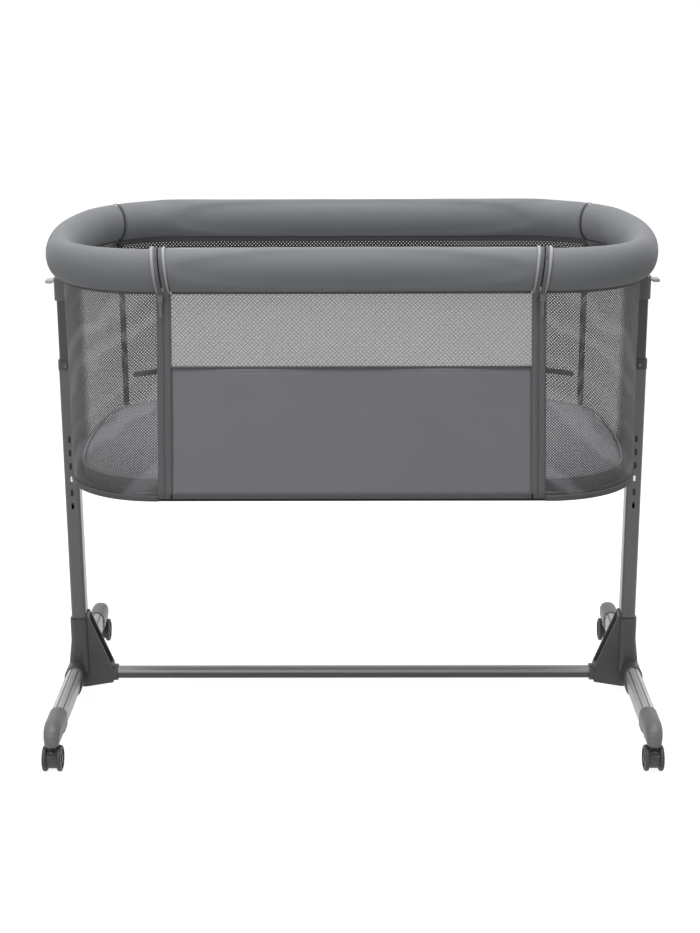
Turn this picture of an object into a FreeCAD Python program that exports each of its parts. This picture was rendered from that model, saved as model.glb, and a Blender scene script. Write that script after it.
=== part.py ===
import FreeCAD, Part
import math
import os

# A bedside sleeper crib: a wheeled base with two telescopic posts carries a fabric basket on a
# padded rail, and the middle of the basket's front side folds down between two zippers.
# Millimetres. The origin is on the floor under the middle of the crib.
# X runs along the crib, Y away from the bed side, Z up. The bed side is -Y.

# ---------------------------------------------------------------- padded rail
RAIL_HALF_LENGTH = 441.5      # centre line of the rail tube, at the ends
RAIL_HALF_DEPTH = 254.5       # centre line of the rail tube, front and rear
RAIL_CORNER_RADIUS = 146.0
RAIL_END_RADIUS = 643.0       # the ends are bowed slightly outwards
RAIL_HEIGHT = 765.5
RAIL_TUBE_RADIUS = 9.5
RAIL_TUBE_WALL = 1.2
PAD_HALF_WIDTH = 22.0
PAD_HALF_HEIGHT = 30.5
REAR_SEAM_ANGLE = 43.0        # degrees round the rear corner where the covers are sewn
REAR_TUBE_HALF = 240.0        # the rear tube plugs into the end tubes here

# ---------------------------------------------------------------- basket walls
WALL_END_INSET = 7.3          # the end walls stand in from the rail's centre line
WALL_SIDE_OUTSET = 1.5        # the long walls stand out from it
WALL_HALF_LENGTH = RAIL_HALF_LENGTH - WALL_END_INSET
WALL_HALF_DEPTH = RAIL_HALF_DEPTH + WALL_SIDE_OUTSET
WALL_CORNER_RADIUS = 140.0
WALL_END_RADIUS = 1000.0
WALL_THICKNESS = 1.6
WALL_BOTTOM = 427.0
SEWN_GAP = 0.3                # between cloth pieces that are sewn edge to edge
WALL_TOP = RAIL_HEIGHT - PAD_HALF_HEIGHT - 3 * SEWN_GAP
ZIPPER_INSET = 19.5           # from the rail's corner arc to where the drop side parts
ZIPPER_TAPE_WIDTH = 13.7
PANEL_LIFT = 3.0              # the drop side ends this far above the walls' lower edge
PANEL_BOTTOM = WALL_BOTTOM + PANEL_LIFT
PANEL_HEIGHT = 196.5
PANEL_TOP = PANEL_BOTTOM + PANEL_HEIGHT
END_BAND_HALF_WIDTH = 88.0    # closed cloth behind each post
REAR_SEAM_STEP = 0.2          # degrees between pieces sewn at the rear corners

# ---------------------------------------------------------------- basket floor
LOWER_TUBE_RADIUS = 6.0
LOWER_TUBE_WALL = 1.0
BOTTOM_CLOTH_THICKNESS = 1.0
BOTTOM_CLOTH_INSET = 1.5
BOARD_THICKNESS = 3.0
MATTRESS_SIDE_HEIGHT = 26.0
MATTRESS_CROWN = 8.0
MATTRESS_EDGE_SOFTNESS = 6.0
TAB_HEIGHT = 9.0
TAB_THICKNESS = 1.2
TAB_RISE = 76.0
TAB_Z = WALL_BOTTOM + TAB_RISE
TAB_START_ANGLE = 50.0        # degrees round the rear corner
TAB_END_ANGLE = 71.0

# ---------------------------------------------------------------- posts
POST_OUTSET = 7.5             # from the rail's centre line
POST_X = RAIL_HALF_LENGTH + POST_OUTSET
POST_HALF_WIDTH = 12.0
POST_HALF_DEPTH = 16.5
POST_CORNER = 7.0
POST_WALL = 1.5
POST_TOP = 578.0
SLIDE_CLEARANCE = 0.3
INNER_POST_WALL = 1.2
SLOT_COUNT_BELOW = 2
SLOT_COUNT_ABOVE = 3
SLOT_PITCH = 22.0
SLOT_WIDTH = 4.2
SLOT_HEIGHT = 11.0
SLOT_CORNER = 2.0
LATCH_DROP = 190.4            # from the top of the outer post
LATCH_Z = POST_TOP - LATCH_DROP
LATCH_SIDE_PLAY = 0.35
LATCH_TRAVEL = 2.2
LATCH_ROOT = 1.0              # the tongue's length inside its block
LATCH_BODY_DEPTH = 9.0
LATCH_BODY_HALF_HEIGHT = 8.0
COLLAR_WALL = 0.8
COLLAR_DROP = 12.0            # how far the collar reaches down round the outer post
COLLAR_RISE = 3.5             # how far it stands above the outer post
COLLAR_BOLT_DROP = 4.5        # below the top of the outer post
BOLT_HEAD_RADIUS = 3.5
BOLT_HEAD_HEIGHT = 1.8
BOLT_HEAD_ROUNDING = 0.8
BOLT_SHANK_RADIUS = 2.0

# ---------------------------------------------------------------- post heads and levers
HEAD_WALL = 3.0
HEAD_DROP = 53.5              # from the rail's centre line to the head's shoulder
HEAD_HEIGHT = 35.0
HEAD_TOP = RAIL_HEIGHT - HEAD_DROP
HEAD_BOTTOM = HEAD_TOP - HEAD_HEIGHT
HEAD_CAP = 18.0               # solid top of the head, above the post
INNER_POST_TOP = HEAD_TOP - HEAD_CAP
INNER_POST_TAIL = 42.6        # below the latch
INNER_POST_BOTTOM = LATCH_Z - INNER_POST_TAIL
NECK_INSIDE = 4.5             # the neck's reach either side of the rail's centre line
NECK_OUTSIDE = 14.5
NECK_INNER_X = RAIL_HALF_LENGTH - NECK_INSIDE
NECK_OUTER_X = RAIL_HALF_LENGTH + NECK_OUTSIDE
NECK_HALF_DEPTH = 14.0
NECK_CLEARANCE = 0.3
LEVER_PIVOT_OUT = 3.0         # outside the post's axis
LEVER_PIVOT_X = POST_X + LEVER_PIVOT_OUT
LEVER_DROP = 5.8              # below the head's shoulder
LEVER_PIVOT_Z = HEAD_TOP - LEVER_DROP
LEVER_PIVOT_RADIUS = 2.0
LEVER_HALF_DEPTH = 10.0
LEVER_THICKNESS = 3.4
LEVER_ROUNDING = 1.0
LEVER_REACH = 27.0            # from the post's axis to the tip
LEVER_TIP_X = POST_X + LEVER_REACH
LEVER_PAD_LENGTH = 11.0
LEVER_PAD_THICKNESS = 5.4
LEVER_PAD_ROUNDING = 1.5
LEVER_SWING_ROOM = 3.6
LEVER_TOP_ROOM = 1.6
PIVOT_CLEARANCE = 0.05

# ---------------------------------------------------------------- casters
WHEEL_RADIUS = 20.0
WHEEL_WIDTH = 7.0
WHEEL_EDGE = 2.8
WHEEL_RIM = 5.5
WHEEL_RECESS_RADIUS = WHEEL_RADIUS - WHEEL_RIM
WHEEL_RECESS_DEPTH = 1.8
WHEEL_BOSS_RADIUS = 5.5
WHEEL_SIDE_GAP = 0.3
WHEEL_TOP_GAP = 0.5
CASTER_TRAIL = 12.0
CASTER_DISC_RADIUS = 9.0
CASTER_DISC_THICKNESS = 2.2
CASTER_DISC_GAP = 0.3
WEB_HALF_WIDTH = 7.3
WEB_HUB_RADIUS = 15.5
WEB_REACH = 8.0               # of the web behind the stem
AXLE_RADIUS = 2.5
STEM_RADIUS = 5.0
STEM_LENGTH = 19.0            # inside the cap
STEM_END_ROOM = 0.5
BRAKE_PIVOT_BEYOND = 15.0     # from the axle, towards the trailing side
BRAKE_PIVOT_OUT = CASTER_TRAIL + BRAKE_PIVOT_BEYOND
BRAKE_PIVOT_RISE = 13.5
BRAKE_PIVOT_Z = WHEEL_RADIUS + BRAKE_PIVOT_RISE
BRAKE_PIN_RADIUS = 1.2
BRAKE_EAR_HALF_WIDTH = 2.0
BRAKE_CHEEK_GAP = 0.3
BRAKE_HALF_WIDTH = 5.2
BRAKE_THICKNESS = 3.0
BRAKE_LENGTH = 8.4
BRAKE_REACH = BRAKE_PIVOT_OUT + BRAKE_LENGTH
BRAKE_PAD_LENGTH = 4.5
BRAKE_PAD_HALF_WIDTH = 6.5
BRAKE_PAD_ROUNDING = 0.9

# ---------------------------------------------------------------- base frame
CAP_BOTTOM = 2 * WHEEL_RADIUS + WHEEL_TOP_GAP + CASTER_DISC_THICKNESS + CASTER_DISC_GAP
FOOT_OUTSET = 6.5             # from the post's axis
FOOT_X = POST_X + FOOT_OUTSET
FOOT_HALF_WIDTH = 12.0
FOOT_HALF_HEIGHT = 18.5
FOOT_CORNER = 11.0
FOOT_RISE = 13.5              # above the underside of the caps
FOOT_Z = CAP_BOTTOM + FOOT_RISE
FOOT_HALF_LENGTH = 212.0
FOOT_WALL = 1.5
CROSSBAR_DROP = 7.0           # below the foot bars
CROSSBAR_Z = FOOT_Z - CROSSBAR_DROP
CROSSBAR_HALF_HEIGHT = 9.5
CROSSBAR_HALF_DEPTH = 10.5
CROSSBAR_CORNER = 8.0
CROSSBAR_WALL = 1.5
CROSSBAR_INSERT = 36.0        # length held inside each bracket
BRACKET_WALL_X = 2.2
BRACKET_WALL_Y = 3.8
BRACKET_FOOT_WALL = 2.4
BRACKET_FOOT_HALF_LENGTH = 72.0    # along the underside of the foot bar
BRACKET_FOOT_SLANT = 26.0     # the sleeve is this much shorter along its top, at each end
BRACKET_HEIGHT = 93.0         # of the post socket above the foot bar's axis
BRACKET_TOP = FOOT_Z + BRACKET_HEIGHT
BRACKET_WAIST_DROP = 37.5     # below this the socket spreads out to the foot bar's sleeve
BRACKET_WAIST_Z = BRACKET_TOP - BRACKET_WAIST_DROP
BRACKET_FIN = 6.5             # the web stands this much above the socket
BRACKET_PEAK = BRACKET_TOP + BRACKET_FIN
BRACKET_NOSE_REACH = 59.0
BRACKET_NOSE_X = POST_X - BRACKET_NOSE_REACH
BRACKET_NOSE_LENGTH = 7.0     # the plain ring round the crossbar
BRACKET_NOSE_WALL = 3.4
BRACKET_KEEL = 6.5            # the web's depth below the foot bar's sleeve
BRACKET_HALF_THICKNESS = 14.0
BRACKET_PLATE = 3.0           # the two side plates of the web, open along the slanted edge
BRACKET_FLOOR = 4.0           # above the ring round the crossbar
BRACKET_BACK = 1.2            # of the web behind the socket's own wall
BRACKET_BOLT_RISE = 31.5
BRACKET_BOLT_Z = FOOT_Z + BRACKET_BOLT_RISE
EDGE_SOFTNESS = 2.0

# ---------------------------------------------------------------- foot caps
CAP_WALL = 1.8
CAP_OVERLAP = 10.0            # of the cap on the foot bar
CAP_KNEE = 6.0                # the straight part ends this far beyond the foot bar
CAP_TURN = 18.0               # the bend starts this far beyond the foot bar
CAP_THROAT = 2.0              # inner radius of the bend
CAP_NOSE = 26.0               # beyond the caster's stem
CAP_TOE_HALF_WIDTH = 10.6     # over the caster
CAP_EDGE_FLAT = 1.0           # left flat between the rounded edges
CAP_BEND_STEPS = 9
CAP_FULLNESS = 3.0            # how squarely the bend turns, 2 would be an ellipse
STEM_OUT = 39.0               # beyond the end of the foot bar
STEM_Y = FOOT_HALF_LENGTH + STEM_OUT
CAP_START_Y = FOOT_HALF_LENGTH - CAP_OVERLAP
CAP_KNEE_Y = FOOT_HALF_LENGTH + CAP_KNEE
CAP_TURN_Y = FOOT_HALF_LENGTH + CAP_TURN
CAP_FRONT_Y = STEM_Y + CAP_NOSE

# ---------------------------------------------------------------- zipper sliders
SLIDER_WIDTH = 8.4
SLIDER_HEIGHT = 12.0
SLIDER_DEPTH = 5.0
SLIDER_DROP = 1.1             # below the top of the walls
SLIDER_TOP = WALL_TOP - SLIDER_DROP
SLIDER_GAP = 0.3
PULLER_WIDTH = 4.6
PULLER_LENGTH = 22.0
PULLER_THICKNESS = 1.6
PULLER_ROUNDING = 0.7

CUT_MARGIN = 1.0              # how far a cutting shape reaches past what it cuts

X_AXIS = FreeCAD.Vector(1, 0, 0)
Y_AXIS = FreeCAD.Vector(0, 1, 0)
Z_AXIS = FreeCAD.Vector(0, 0, 1)


def vec(x, y, z):
    return FreeCAD.Vector(x, y, z)


def mirrored_x(shape):
    """The same piece at the other end of the crib."""
    return shape.mirror(vec(0, 0, 0), X_AXIS)


def mirrored_y(shape):
    """The same piece on the other long side."""
    return shape.mirror(vec(0, 0, 0), Y_AXIS)


def fused(shapes):
    whole = shapes[0].multiFuse(shapes[1:]) if len(shapes) > 1 else shapes[0]
    return whole.removeSplitter()


def rounded_outline(half_a, half_b, radius):
    """A rounded rectangle about the origin in the XY plane."""
    bend = radius * (1 - math.sqrt(0.5))
    a, b, r = half_a, half_b, radius
    edges = []
    for sx, sy in ((1, -1), (1, 1), (-1, 1), (-1, -1)):
        on_end = vec(sx * a, sy * (b - r), 0)
        on_side = vec(sx * (a - r), sy * b, 0)
        middle = vec(sx * (a - bend), sy * (b - bend), 0)
        first, last = (on_side, on_end) if sx * sy < 0 else (on_end, on_side)
        if edges:
            edges.append(Part.LineSegment(edges[-1].Vertexes[-1].Point, first).toShape())
        edges.append(Part.Arc(first, middle, last).toShape())
    edges.append(Part.LineSegment(edges[-1].Vertexes[-1].Point, edges[0].Vertexes[0].Point).toShape())
    return Part.Wire(edges)


def upright_prism(half_x, half_y, radius, x, y, low, high):
    """A rounded rectangular column standing between two heights."""
    face = Part.Face(rounded_outline(half_x, half_y, radius))
    face.translate(vec(x, y, low))
    return face.extrude(vec(0, 0, high - low))


def bar_along_y(half_x, half_z, radius, x, z, low, high):
    face = Part.Face(rounded_outline(half_x, half_z, radius))
    face.rotate(vec(0, 0, 0), X_AXIS, 90)
    face.translate(vec(x, low, z))
    return face.extrude(vec(0, high - low, 0))


def bar_along_x(half_y, half_z, radius, y, z, low, high):
    face = Part.Face(rounded_outline(half_z, half_y, radius))
    face.rotate(vec(0, 0, 0), Y_AXIS, 90)
    face.translate(vec(low, y, z))
    return face.extrude(vec(high - low, 0, 0))


def block(x0, x1, y0, y1, z0, z1):
    return Part.makeBox(x1 - x0, y1 - y0, z1 - z0, vec(x0, y0, z0))


def soft_block(x0, x1, y0, y1, z0, z1, radius):
    box = block(x0, x1, y0, y1, z0, z1)
    return box.makeFillet(radius, box.Edges)


def yz_plate(points, low, high):
    """A flat plate drawn in the YZ plane, between two places along X."""
    corners = [vec(low, y, z) for y, z in points]
    face = Part.Face(Part.makePolygon(corners + corners[:1]))
    return face.extrude(vec(high - low, 0, 0))


def xz_plate(points, half_thickness):
    """A flat plate drawn in the XZ plane, centred on Y = 0."""
    corners = [vec(x, -half_thickness, z) for x, z in points]
    face = Part.Face(Part.makePolygon(corners + corners[:1]))
    return face.extrude(vec(0, 2 * half_thickness, 0))


# ---------------------------------------------------------------- plan of the rail and walls
class PlanCurve:
    """Half a plan outline: a straight front, a corner, a bowed end, a corner, a straight rear."""

    def __init__(self, half_length, half_depth, corner_radius, end_radius):
        self.half_length = half_length
        self.half_depth = half_depth
        self.corner_radius = corner_radius
        self.end_radius = end_radius
        self.corner_y = half_depth - corner_radius
        join = math.asin(self.corner_y / (end_radius - corner_radius))
        self.join_angle = math.degrees(join)
        self.corner_x = half_length - end_radius + (end_radius - corner_radius) * math.cos(join)

    def offset(self, distance):
        """The parallel curve, outwards for a positive distance."""
        return PlanCurve(
            self.half_length + distance,
            self.half_depth + distance,
            self.corner_radius + distance,
            self.end_radius + distance,
        )

    def end_moves(self, front_x, rear_angle=90.0, rear_x=None):
        """From front_x on the front side round the right end, to an angle on the rear corner."""
        moves = [
            (vec(self.corner_x - front_x, 0, 0), None),
            (vec(self.corner_x, -self.corner_y, 0), 90 - self.join_angle),
            (vec(self.half_length - self.end_radius, 0, 0), 2 * self.join_angle),
            (vec(self.corner_x, self.corner_y, 0), rear_angle - self.join_angle),
        ]
        if rear_x is not None:
            moves.append((vec(rear_x - self.corner_x, 0, 0), None))
        return moves

    def rear_moves(self, seam_angle):
        """From the middle of the rear side to an angle on the right rear corner."""
        return [
            (vec(self.corner_x, 0, 0), None),
            (vec(self.corner_x, self.corner_y, 0), seam_angle - 90),
        ]

    def outline(self, z):
        """The whole closed outline at one height."""
        radius = self.corner_radius
        diagonal = math.radians((90 + self.join_angle) / 2)
        join = math.radians(self.join_angle)
        edges = []
        start = vec(-self.corner_x, -self.half_depth, z)
        for side in (1, -1):
            on_front = vec(side * self.corner_x, -side * self.half_depth, z)
            mid_low = vec(
                side * (self.corner_x + radius * math.cos(diagonal)),
                -side * (self.corner_y + radius * math.sin(diagonal)), z)
            end_low = vec(
                side * (self.corner_x + radius * math.cos(join)),
                -side * (self.corner_y + radius * math.sin(join)), z)
            end_high = vec(end_low.x, -end_low.y, z)
            mid_high = vec(mid_low.x, -mid_low.y, z)
            on_rear = vec(on_front.x, -on_front.y, z)
            edges.append(Part.LineSegment(start, on_front).toShape())
            edges.append(Part.Arc(on_front, mid_low, end_low).toShape())
            edges.append(Part.Arc(end_low, vec(side * self.half_length, 0, z), end_high).toShape())
            edges.append(Part.Arc(end_high, mid_high, on_rear).toShape())
            start = on_rear
        return Part.Wire(edges)


def swept(section, moves):
    """Carries a flat section along straight runs and level arcs, as one solid."""
    pieces = []
    for where, turn in moves:
        if turn is None:
            pieces.append(section.extrude(where))
            section = section.translated(where)
        else:
            pieces.append(section.revolve(where, Z_AXIS, turn))
            section = section.rotated(where, Z_AXIS, turn)
    return fused(pieces)


def ellipse_section(x, y, z, half_width, half_height):
    curve = Part.Ellipse(vec(x, y, z + half_height), vec(x, y + half_width, z), vec(x, y, z))
    return Part.Face(Part.Wire(curve.toShape()))


def ring_section(x, y, z, radius, wall):
    return disc_section(x, y, z, radius).cut(disc_section(x, y, z, radius - wall)).Faces[0]


def disc_section(x, y, z, radius):
    return Part.Face(Part.Wire(Part.makeCircle(radius, vec(x, y, z), X_AXIS)))


def strip_section(x, y, low, high, thickness):
    half = thickness / 2
    corners = [vec(x, y - half, low), vec(x, y + half, low), vec(x, y + half, high), vec(x, y - half, high)]
    return Part.Face(Part.makePolygon(corners + corners[:1]))


RAIL = PlanCurve(RAIL_HALF_LENGTH, RAIL_HALF_DEPTH, RAIL_CORNER_RADIUS, RAIL_END_RADIUS)
WALL = PlanCurve(WALL_HALF_LENGTH, WALL_HALF_DEPTH, WALL_CORNER_RADIUS, WALL_END_RADIUS)
WALL_INSIDE = WALL_THICKNESS / 2 + SEWN_GAP
ZIPPER_X = RAIL.corner_x - ZIPPER_INSET
FRONT_HALF = ZIPPER_X - SEWN_GAP
FIXED_START = ZIPPER_X + SEWN_GAP
MESH_START = FIXED_START + ZIPPER_TAPE_WIDTH + SEWN_GAP

INNER_HALF_WIDTH = POST_HALF_WIDTH - POST_WALL - SLIDE_CLEARANCE
INNER_HALF_DEPTH = POST_HALF_DEPTH - POST_WALL - SLIDE_CLEARANCE
INNER_CORNER = POST_CORNER - POST_WALL - SLIDE_CLEARANCE
POST_BOTTOM = FOOT_Z + FOOT_HALF_HEIGHT + BRACKET_FOOT_WALL
COLLAR_HALF_DEPTH = POST_HALF_DEPTH + COLLAR_WALL
BRACKET_HALF_DEPTH = POST_HALF_DEPTH + BRACKET_WALL_Y


# ---------------------------------------------------------------- rail pieces
def end_rail_tube():
    """The right end tube, from the front joint to the rear joint."""
    section = ring_section(
        FIXED_START, -RAIL_HALF_DEPTH, RAIL_HEIGHT, RAIL_TUBE_RADIUS, RAIL_TUBE_WALL)
    return swept(section, RAIL.end_moves(FIXED_START, 90.0, REAR_TUBE_HALF))


def rear_rail_tube():
    section = ring_section(-REAR_TUBE_HALF, RAIL_HALF_DEPTH, RAIL_HEIGHT, RAIL_TUBE_RADIUS, RAIL_TUBE_WALL)
    return section.extrude(vec(2 * REAR_TUBE_HALF, 0, 0))


def front_rail_tube():
    section = ring_section(-FRONT_HALF, -RAIL_HALF_DEPTH, RAIL_HEIGHT, RAIL_TUBE_RADIUS, RAIL_TUBE_WALL)
    return section.extrude(vec(2 * FRONT_HALF, 0, 0))


def neck_opening():
    """The room that a post's neck needs in the end cover above it."""
    gap = NECK_CLEARANCE
    return block(
        NECK_INNER_X - gap, NECK_OUTER_X + gap, -NECK_HALF_DEPTH - gap, NECK_HALF_DEPTH + gap,
        HEAD_TOP, RAIL_HEIGHT + gap)


def end_rail_cover():
    pad = swept(
        ellipse_section(FIXED_START, -RAIL_HALF_DEPTH, RAIL_HEIGHT, PAD_HALF_WIDTH, PAD_HALF_HEIGHT),
        RAIL.end_moves(FIXED_START, REAR_SEAM_ANGLE))
    core = swept(
        disc_section(FIXED_START, -RAIL_HALF_DEPTH, RAIL_HEIGHT, RAIL_TUBE_RADIUS),
        RAIL.end_moves(FIXED_START, REAR_SEAM_ANGLE))
    return pad.cut(core).cut(neck_opening())


def rear_rail_cover():
    pad = swept(
        ellipse_section(0, RAIL_HALF_DEPTH, RAIL_HEIGHT, PAD_HALF_WIDTH, PAD_HALF_HEIGHT),
        RAIL.rear_moves(REAR_SEAM_ANGLE + REAR_SEAM_STEP))
    core = swept(
        disc_section(0, RAIL_HALF_DEPTH, RAIL_HEIGHT, RAIL_TUBE_RADIUS),
        RAIL.rear_moves(REAR_SEAM_ANGLE + REAR_SEAM_STEP))
    half = pad.cut(core)
    return fused([half, mirrored_x(half)])


def front_rail_cover():
    pad = ellipse_section(-FRONT_HALF, -RAIL_HALF_DEPTH, RAIL_HEIGHT, PAD_HALF_WIDTH, PAD_HALF_HEIGHT)
    core = disc_section(-FRONT_HALF, -RAIL_HALF_DEPTH, RAIL_HEIGHT, RAIL_TUBE_RADIUS)
    return pad.cut(core).extrude(vec(2 * FRONT_HALF, 0, 0))


# ---------------------------------------------------------------- wall pieces
def end_wall():
    """The right end wall from the zipper tape to the rear seam, before it is cut into pieces."""
    section = strip_section(MESH_START, -WALL_HALF_DEPTH, WALL_BOTTOM, WALL_TOP, WALL_THICKNESS)
    return swept(section, WALL.end_moves(MESH_START, REAR_SEAM_ANGLE))


def band_region(grow):
    reach = END_BAND_HALF_WIDTH + grow
    return block(
        WALL.corner_x, WALL_HALF_LENGTH + WALL_THICKNESS, -reach, reach,
        WALL_BOTTOM - WALL_THICKNESS, WALL_TOP + WALL_THICKNESS)


def end_band():
    return end_wall().common(band_region(0))


def end_mesh():
    return end_wall().cut(band_region(SEWN_GAP))


def rear_mesh():
    section = strip_section(0, WALL_HALF_DEPTH, WALL_BOTTOM, WALL_TOP, WALL_THICKNESS)
    half = swept(section, WALL.rear_moves(REAR_SEAM_ANGLE + REAR_SEAM_STEP))
    return fused([half, mirrored_x(half)])


def front_sheet(low, high):
    half = WALL_THICKNESS / 2
    return block(-FRONT_HALF, FRONT_HALF, -WALL_HALF_DEPTH - half, -WALL_HALF_DEPTH + half, low, high)


def zipper_tape():
    half = WALL_THICKNESS / 2
    end = FIXED_START + ZIPPER_TAPE_WIDTH
    return block(
        FIXED_START, end, -WALL_HALF_DEPTH - half, -WALL_HALF_DEPTH + half, PANEL_BOTTOM, WALL_TOP)


def webbing_tab():
    inside = WALL.offset(-WALL_INSIDE - TAB_THICKNESS / 2)
    section = strip_section(
        inside.corner_x, inside.half_depth, TAB_Z - TAB_HEIGHT / 2, TAB_Z + TAB_HEIGHT / 2, TAB_THICKNESS)
    pivot = vec(inside.corner_x, inside.corner_y, 0)
    section = section.rotated(pivot, Z_AXIS, TAB_START_ANGLE - 90)
    return section.revolve(pivot, Z_AXIS, TAB_END_ANGLE - TAB_START_ANGLE)


def zipper_slider():
    x0 = FIXED_START + SLIDER_GAP
    x1 = x0 + SLIDER_WIDTH
    back = -WALL_HALF_DEPTH - WALL_THICKNESS / 2 - SLIDER_GAP
    low = SLIDER_TOP - SLIDER_HEIGHT
    middle = (x0 + x1) / 2
    body = soft_block(x0, x1, back - SLIDER_DEPTH, back, low, SLIDER_TOP, PULLER_ROUNDING)
    front = back - SLIDER_DEPTH / 2
    puller = soft_block(
        middle - PULLER_WIDTH / 2, middle + PULLER_WIDTH / 2, front - PULLER_THICKNESS, front,
        low - PULLER_LENGTH, low + PULLER_THICKNESS, PULLER_ROUNDING)
    return fused([body, puller])


# ---------------------------------------------------------------- basket floor
def lower_frame():
    curve = WALL.offset(-WALL_INSIDE - LOWER_TUBE_RADIUS)
    z = WALL_BOTTOM + LOWER_TUBE_RADIUS
    section = ring_section(0, -curve.half_depth, z, LOWER_TUBE_RADIUS, LOWER_TUBE_WALL)
    half = swept(section, curve.end_moves(0, 90.0, 0))
    return fused([half, mirrored_x(half)])


FLOOR_INSET = WALL_INSIDE + 2 * LOWER_TUBE_RADIUS + SEWN_GAP


def bottom_cloth():
    low = WALL_BOTTOM - SEWN_GAP - BOTTOM_CLOTH_THICKNESS
    outline = WALL.offset(-BOTTOM_CLOTH_INSET).outline(low)
    return Part.Face(outline).extrude(vec(0, 0, BOTTOM_CLOTH_THICKNESS))


def base_board():
    face = Part.Face(WALL.offset(-FLOOR_INSET).outline(WALL_BOTTOM))
    return face.extrude(vec(0, 0, BOARD_THICKNESS))


def mattress():
    """A pad with drawn-in sides and a gently crowned top."""
    low = WALL_BOTTOM + BOARD_THICKNESS + SEWN_GAP
    soft = MATTRESS_EDGE_SOFTNESS
    side = MATTRESS_SIDE_HEIGHT
    crown = MATTRESS_CROWN
    levels = (
        (soft, 0),
        (0, soft),
        (0, side - soft),
        (soft * 0.5, side - soft * 0.2),
        (soft * 2, side + crown * 0.25),
        (soft * 7, side + crown * 0.7),
        (soft * 16, side + crown),
    )
    outlines = [WALL.offset(-FLOOR_INSET - inset).outline(low + rise) for inset, rise in levels]
    return Part.makeLoft(outlines, True, True)


# ---------------------------------------------------------------- posts
def slot_heights():
    return [LATCH_Z + SLOT_PITCH * step for step in range(-SLOT_COUNT_BELOW, SLOT_COUNT_ABOVE + 1)]


def outer_post():
    body = upright_prism(POST_HALF_WIDTH, POST_HALF_DEPTH, POST_CORNER, POST_X, 0, POST_BOTTOM, POST_TOP)
    bore = upright_prism(
        POST_HALF_WIDTH - POST_WALL, POST_HALF_DEPTH - POST_WALL, POST_CORNER - POST_WALL,
        POST_X, 0, POST_BOTTOM, POST_TOP)
    post = body.cut(bore)
    for z in slot_heights():
        slot = bar_along_y(
            SLOT_WIDTH / 2, SLOT_HEIGHT / 2, SLOT_CORNER, POST_X, z,
            -POST_HALF_DEPTH - POST_WALL, -POST_HALF_DEPTH + 2 * POST_WALL)
        post = post.cut(slot)
    for screw in bracket_screws() + [collar_screw()]:
        post = post.cut(screw)
    return post


def inner_post():
    body = upright_prism(
        INNER_HALF_WIDTH, INNER_HALF_DEPTH, INNER_CORNER, POST_X, 0, INNER_POST_BOTTOM, INNER_POST_TOP)
    bore = upright_prism(
        INNER_HALF_WIDTH - INNER_POST_WALL, INNER_HALF_DEPTH - INNER_POST_WALL,
        INNER_CORNER - INNER_POST_WALL, POST_X, 0, INNER_POST_BOTTOM, INNER_POST_TOP)
    window = bar_along_y(
        SLOT_WIDTH / 2, SLOT_HEIGHT / 2, SLOT_CORNER, POST_X, LATCH_Z,
        -INNER_HALF_DEPTH - INNER_POST_WALL, -INNER_HALF_DEPTH + 2 * INNER_POST_WALL)
    return body.cut(bore).cut(window)


def latch_pin():
    """A tongue that springs forward out of the inner post into a slot of the outer post."""
    tip = -INNER_HALF_DEPTH
    shoulder = tip + INNER_POST_WALL + LATCH_TRAVEL + SLIDE_CLEARANCE
    tongue = bar_along_y(
        SLOT_WIDTH / 2 - LATCH_SIDE_PLAY, SLOT_HEIGHT / 2 - 2 * LATCH_SIDE_PLAY,
        SLOT_CORNER - LATCH_SIDE_PLAY, POST_X, LATCH_Z, tip, shoulder + LATCH_ROOT)
    body = upright_prism(
        INNER_HALF_WIDTH - INNER_POST_WALL - SLIDE_CLEARANCE, LATCH_BODY_DEPTH / 2,
        INNER_CORNER - INNER_POST_WALL - SLIDE_CLEARANCE, POST_X, shoulder + LATCH_BODY_DEPTH / 2,
        LATCH_Z - LATCH_BODY_HALF_HEIGHT, LATCH_Z + LATCH_BODY_HALF_HEIGHT)
    return fused([tongue, body])


def post_collar():
    low = POST_TOP - COLLAR_DROP
    high = POST_TOP + COLLAR_RISE
    outside = upright_prism(
        POST_HALF_WIDTH + COLLAR_WALL, COLLAR_HALF_DEPTH, POST_CORNER + COLLAR_WALL, POST_X, 0, low, high)
    seat = upright_prism(POST_HALF_WIDTH, POST_HALF_DEPTH, POST_CORNER, POST_X, 0, low, POST_TOP)
    guide = upright_prism(
        POST_HALF_WIDTH - POST_WALL, POST_HALF_DEPTH - POST_WALL, POST_CORNER - POST_WALL,
        POST_X, 0, POST_TOP, high)
    return outside.cut(seat).cut(guide).cut(collar_screw())


def front_screw(head_seat_y, end_y, z):
    """A round-headed screw into the front of a post, its head standing on head_seat_y."""
    head = Part.makeCylinder(
        BOLT_HEAD_RADIUS, BOLT_HEAD_HEIGHT, vec(POST_X, head_seat_y, z), vec(0, -1, 0))
    rim = [edge for edge in head.Edges if edge.BoundBox.YMax < head_seat_y - BOLT_HEAD_HEIGHT / 2]
    head = head.makeFillet(BOLT_HEAD_ROUNDING, rim)
    shank = Part.makeCylinder(
        BOLT_SHANK_RADIUS, end_y - head_seat_y, vec(POST_X, head_seat_y, z), Y_AXIS)
    return fused([head, shank])


def collar_screw():
    """The screw in the collar's front, which stops short of the sliding post."""
    inner_face = -POST_HALF_DEPTH + POST_WALL
    return front_screw(-COLLAR_HALF_DEPTH, inner_face, POST_TOP - COLLAR_BOLT_DROP)


def bracket_screws():
    """One screw through the bracket into the post from the front and one from the rear."""
    front = front_screw(-BRACKET_HALF_DEPTH, -POST_HALF_DEPTH + POST_WALL, BRACKET_BOLT_Z)
    return [front, mirrored_y(front)]


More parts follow.
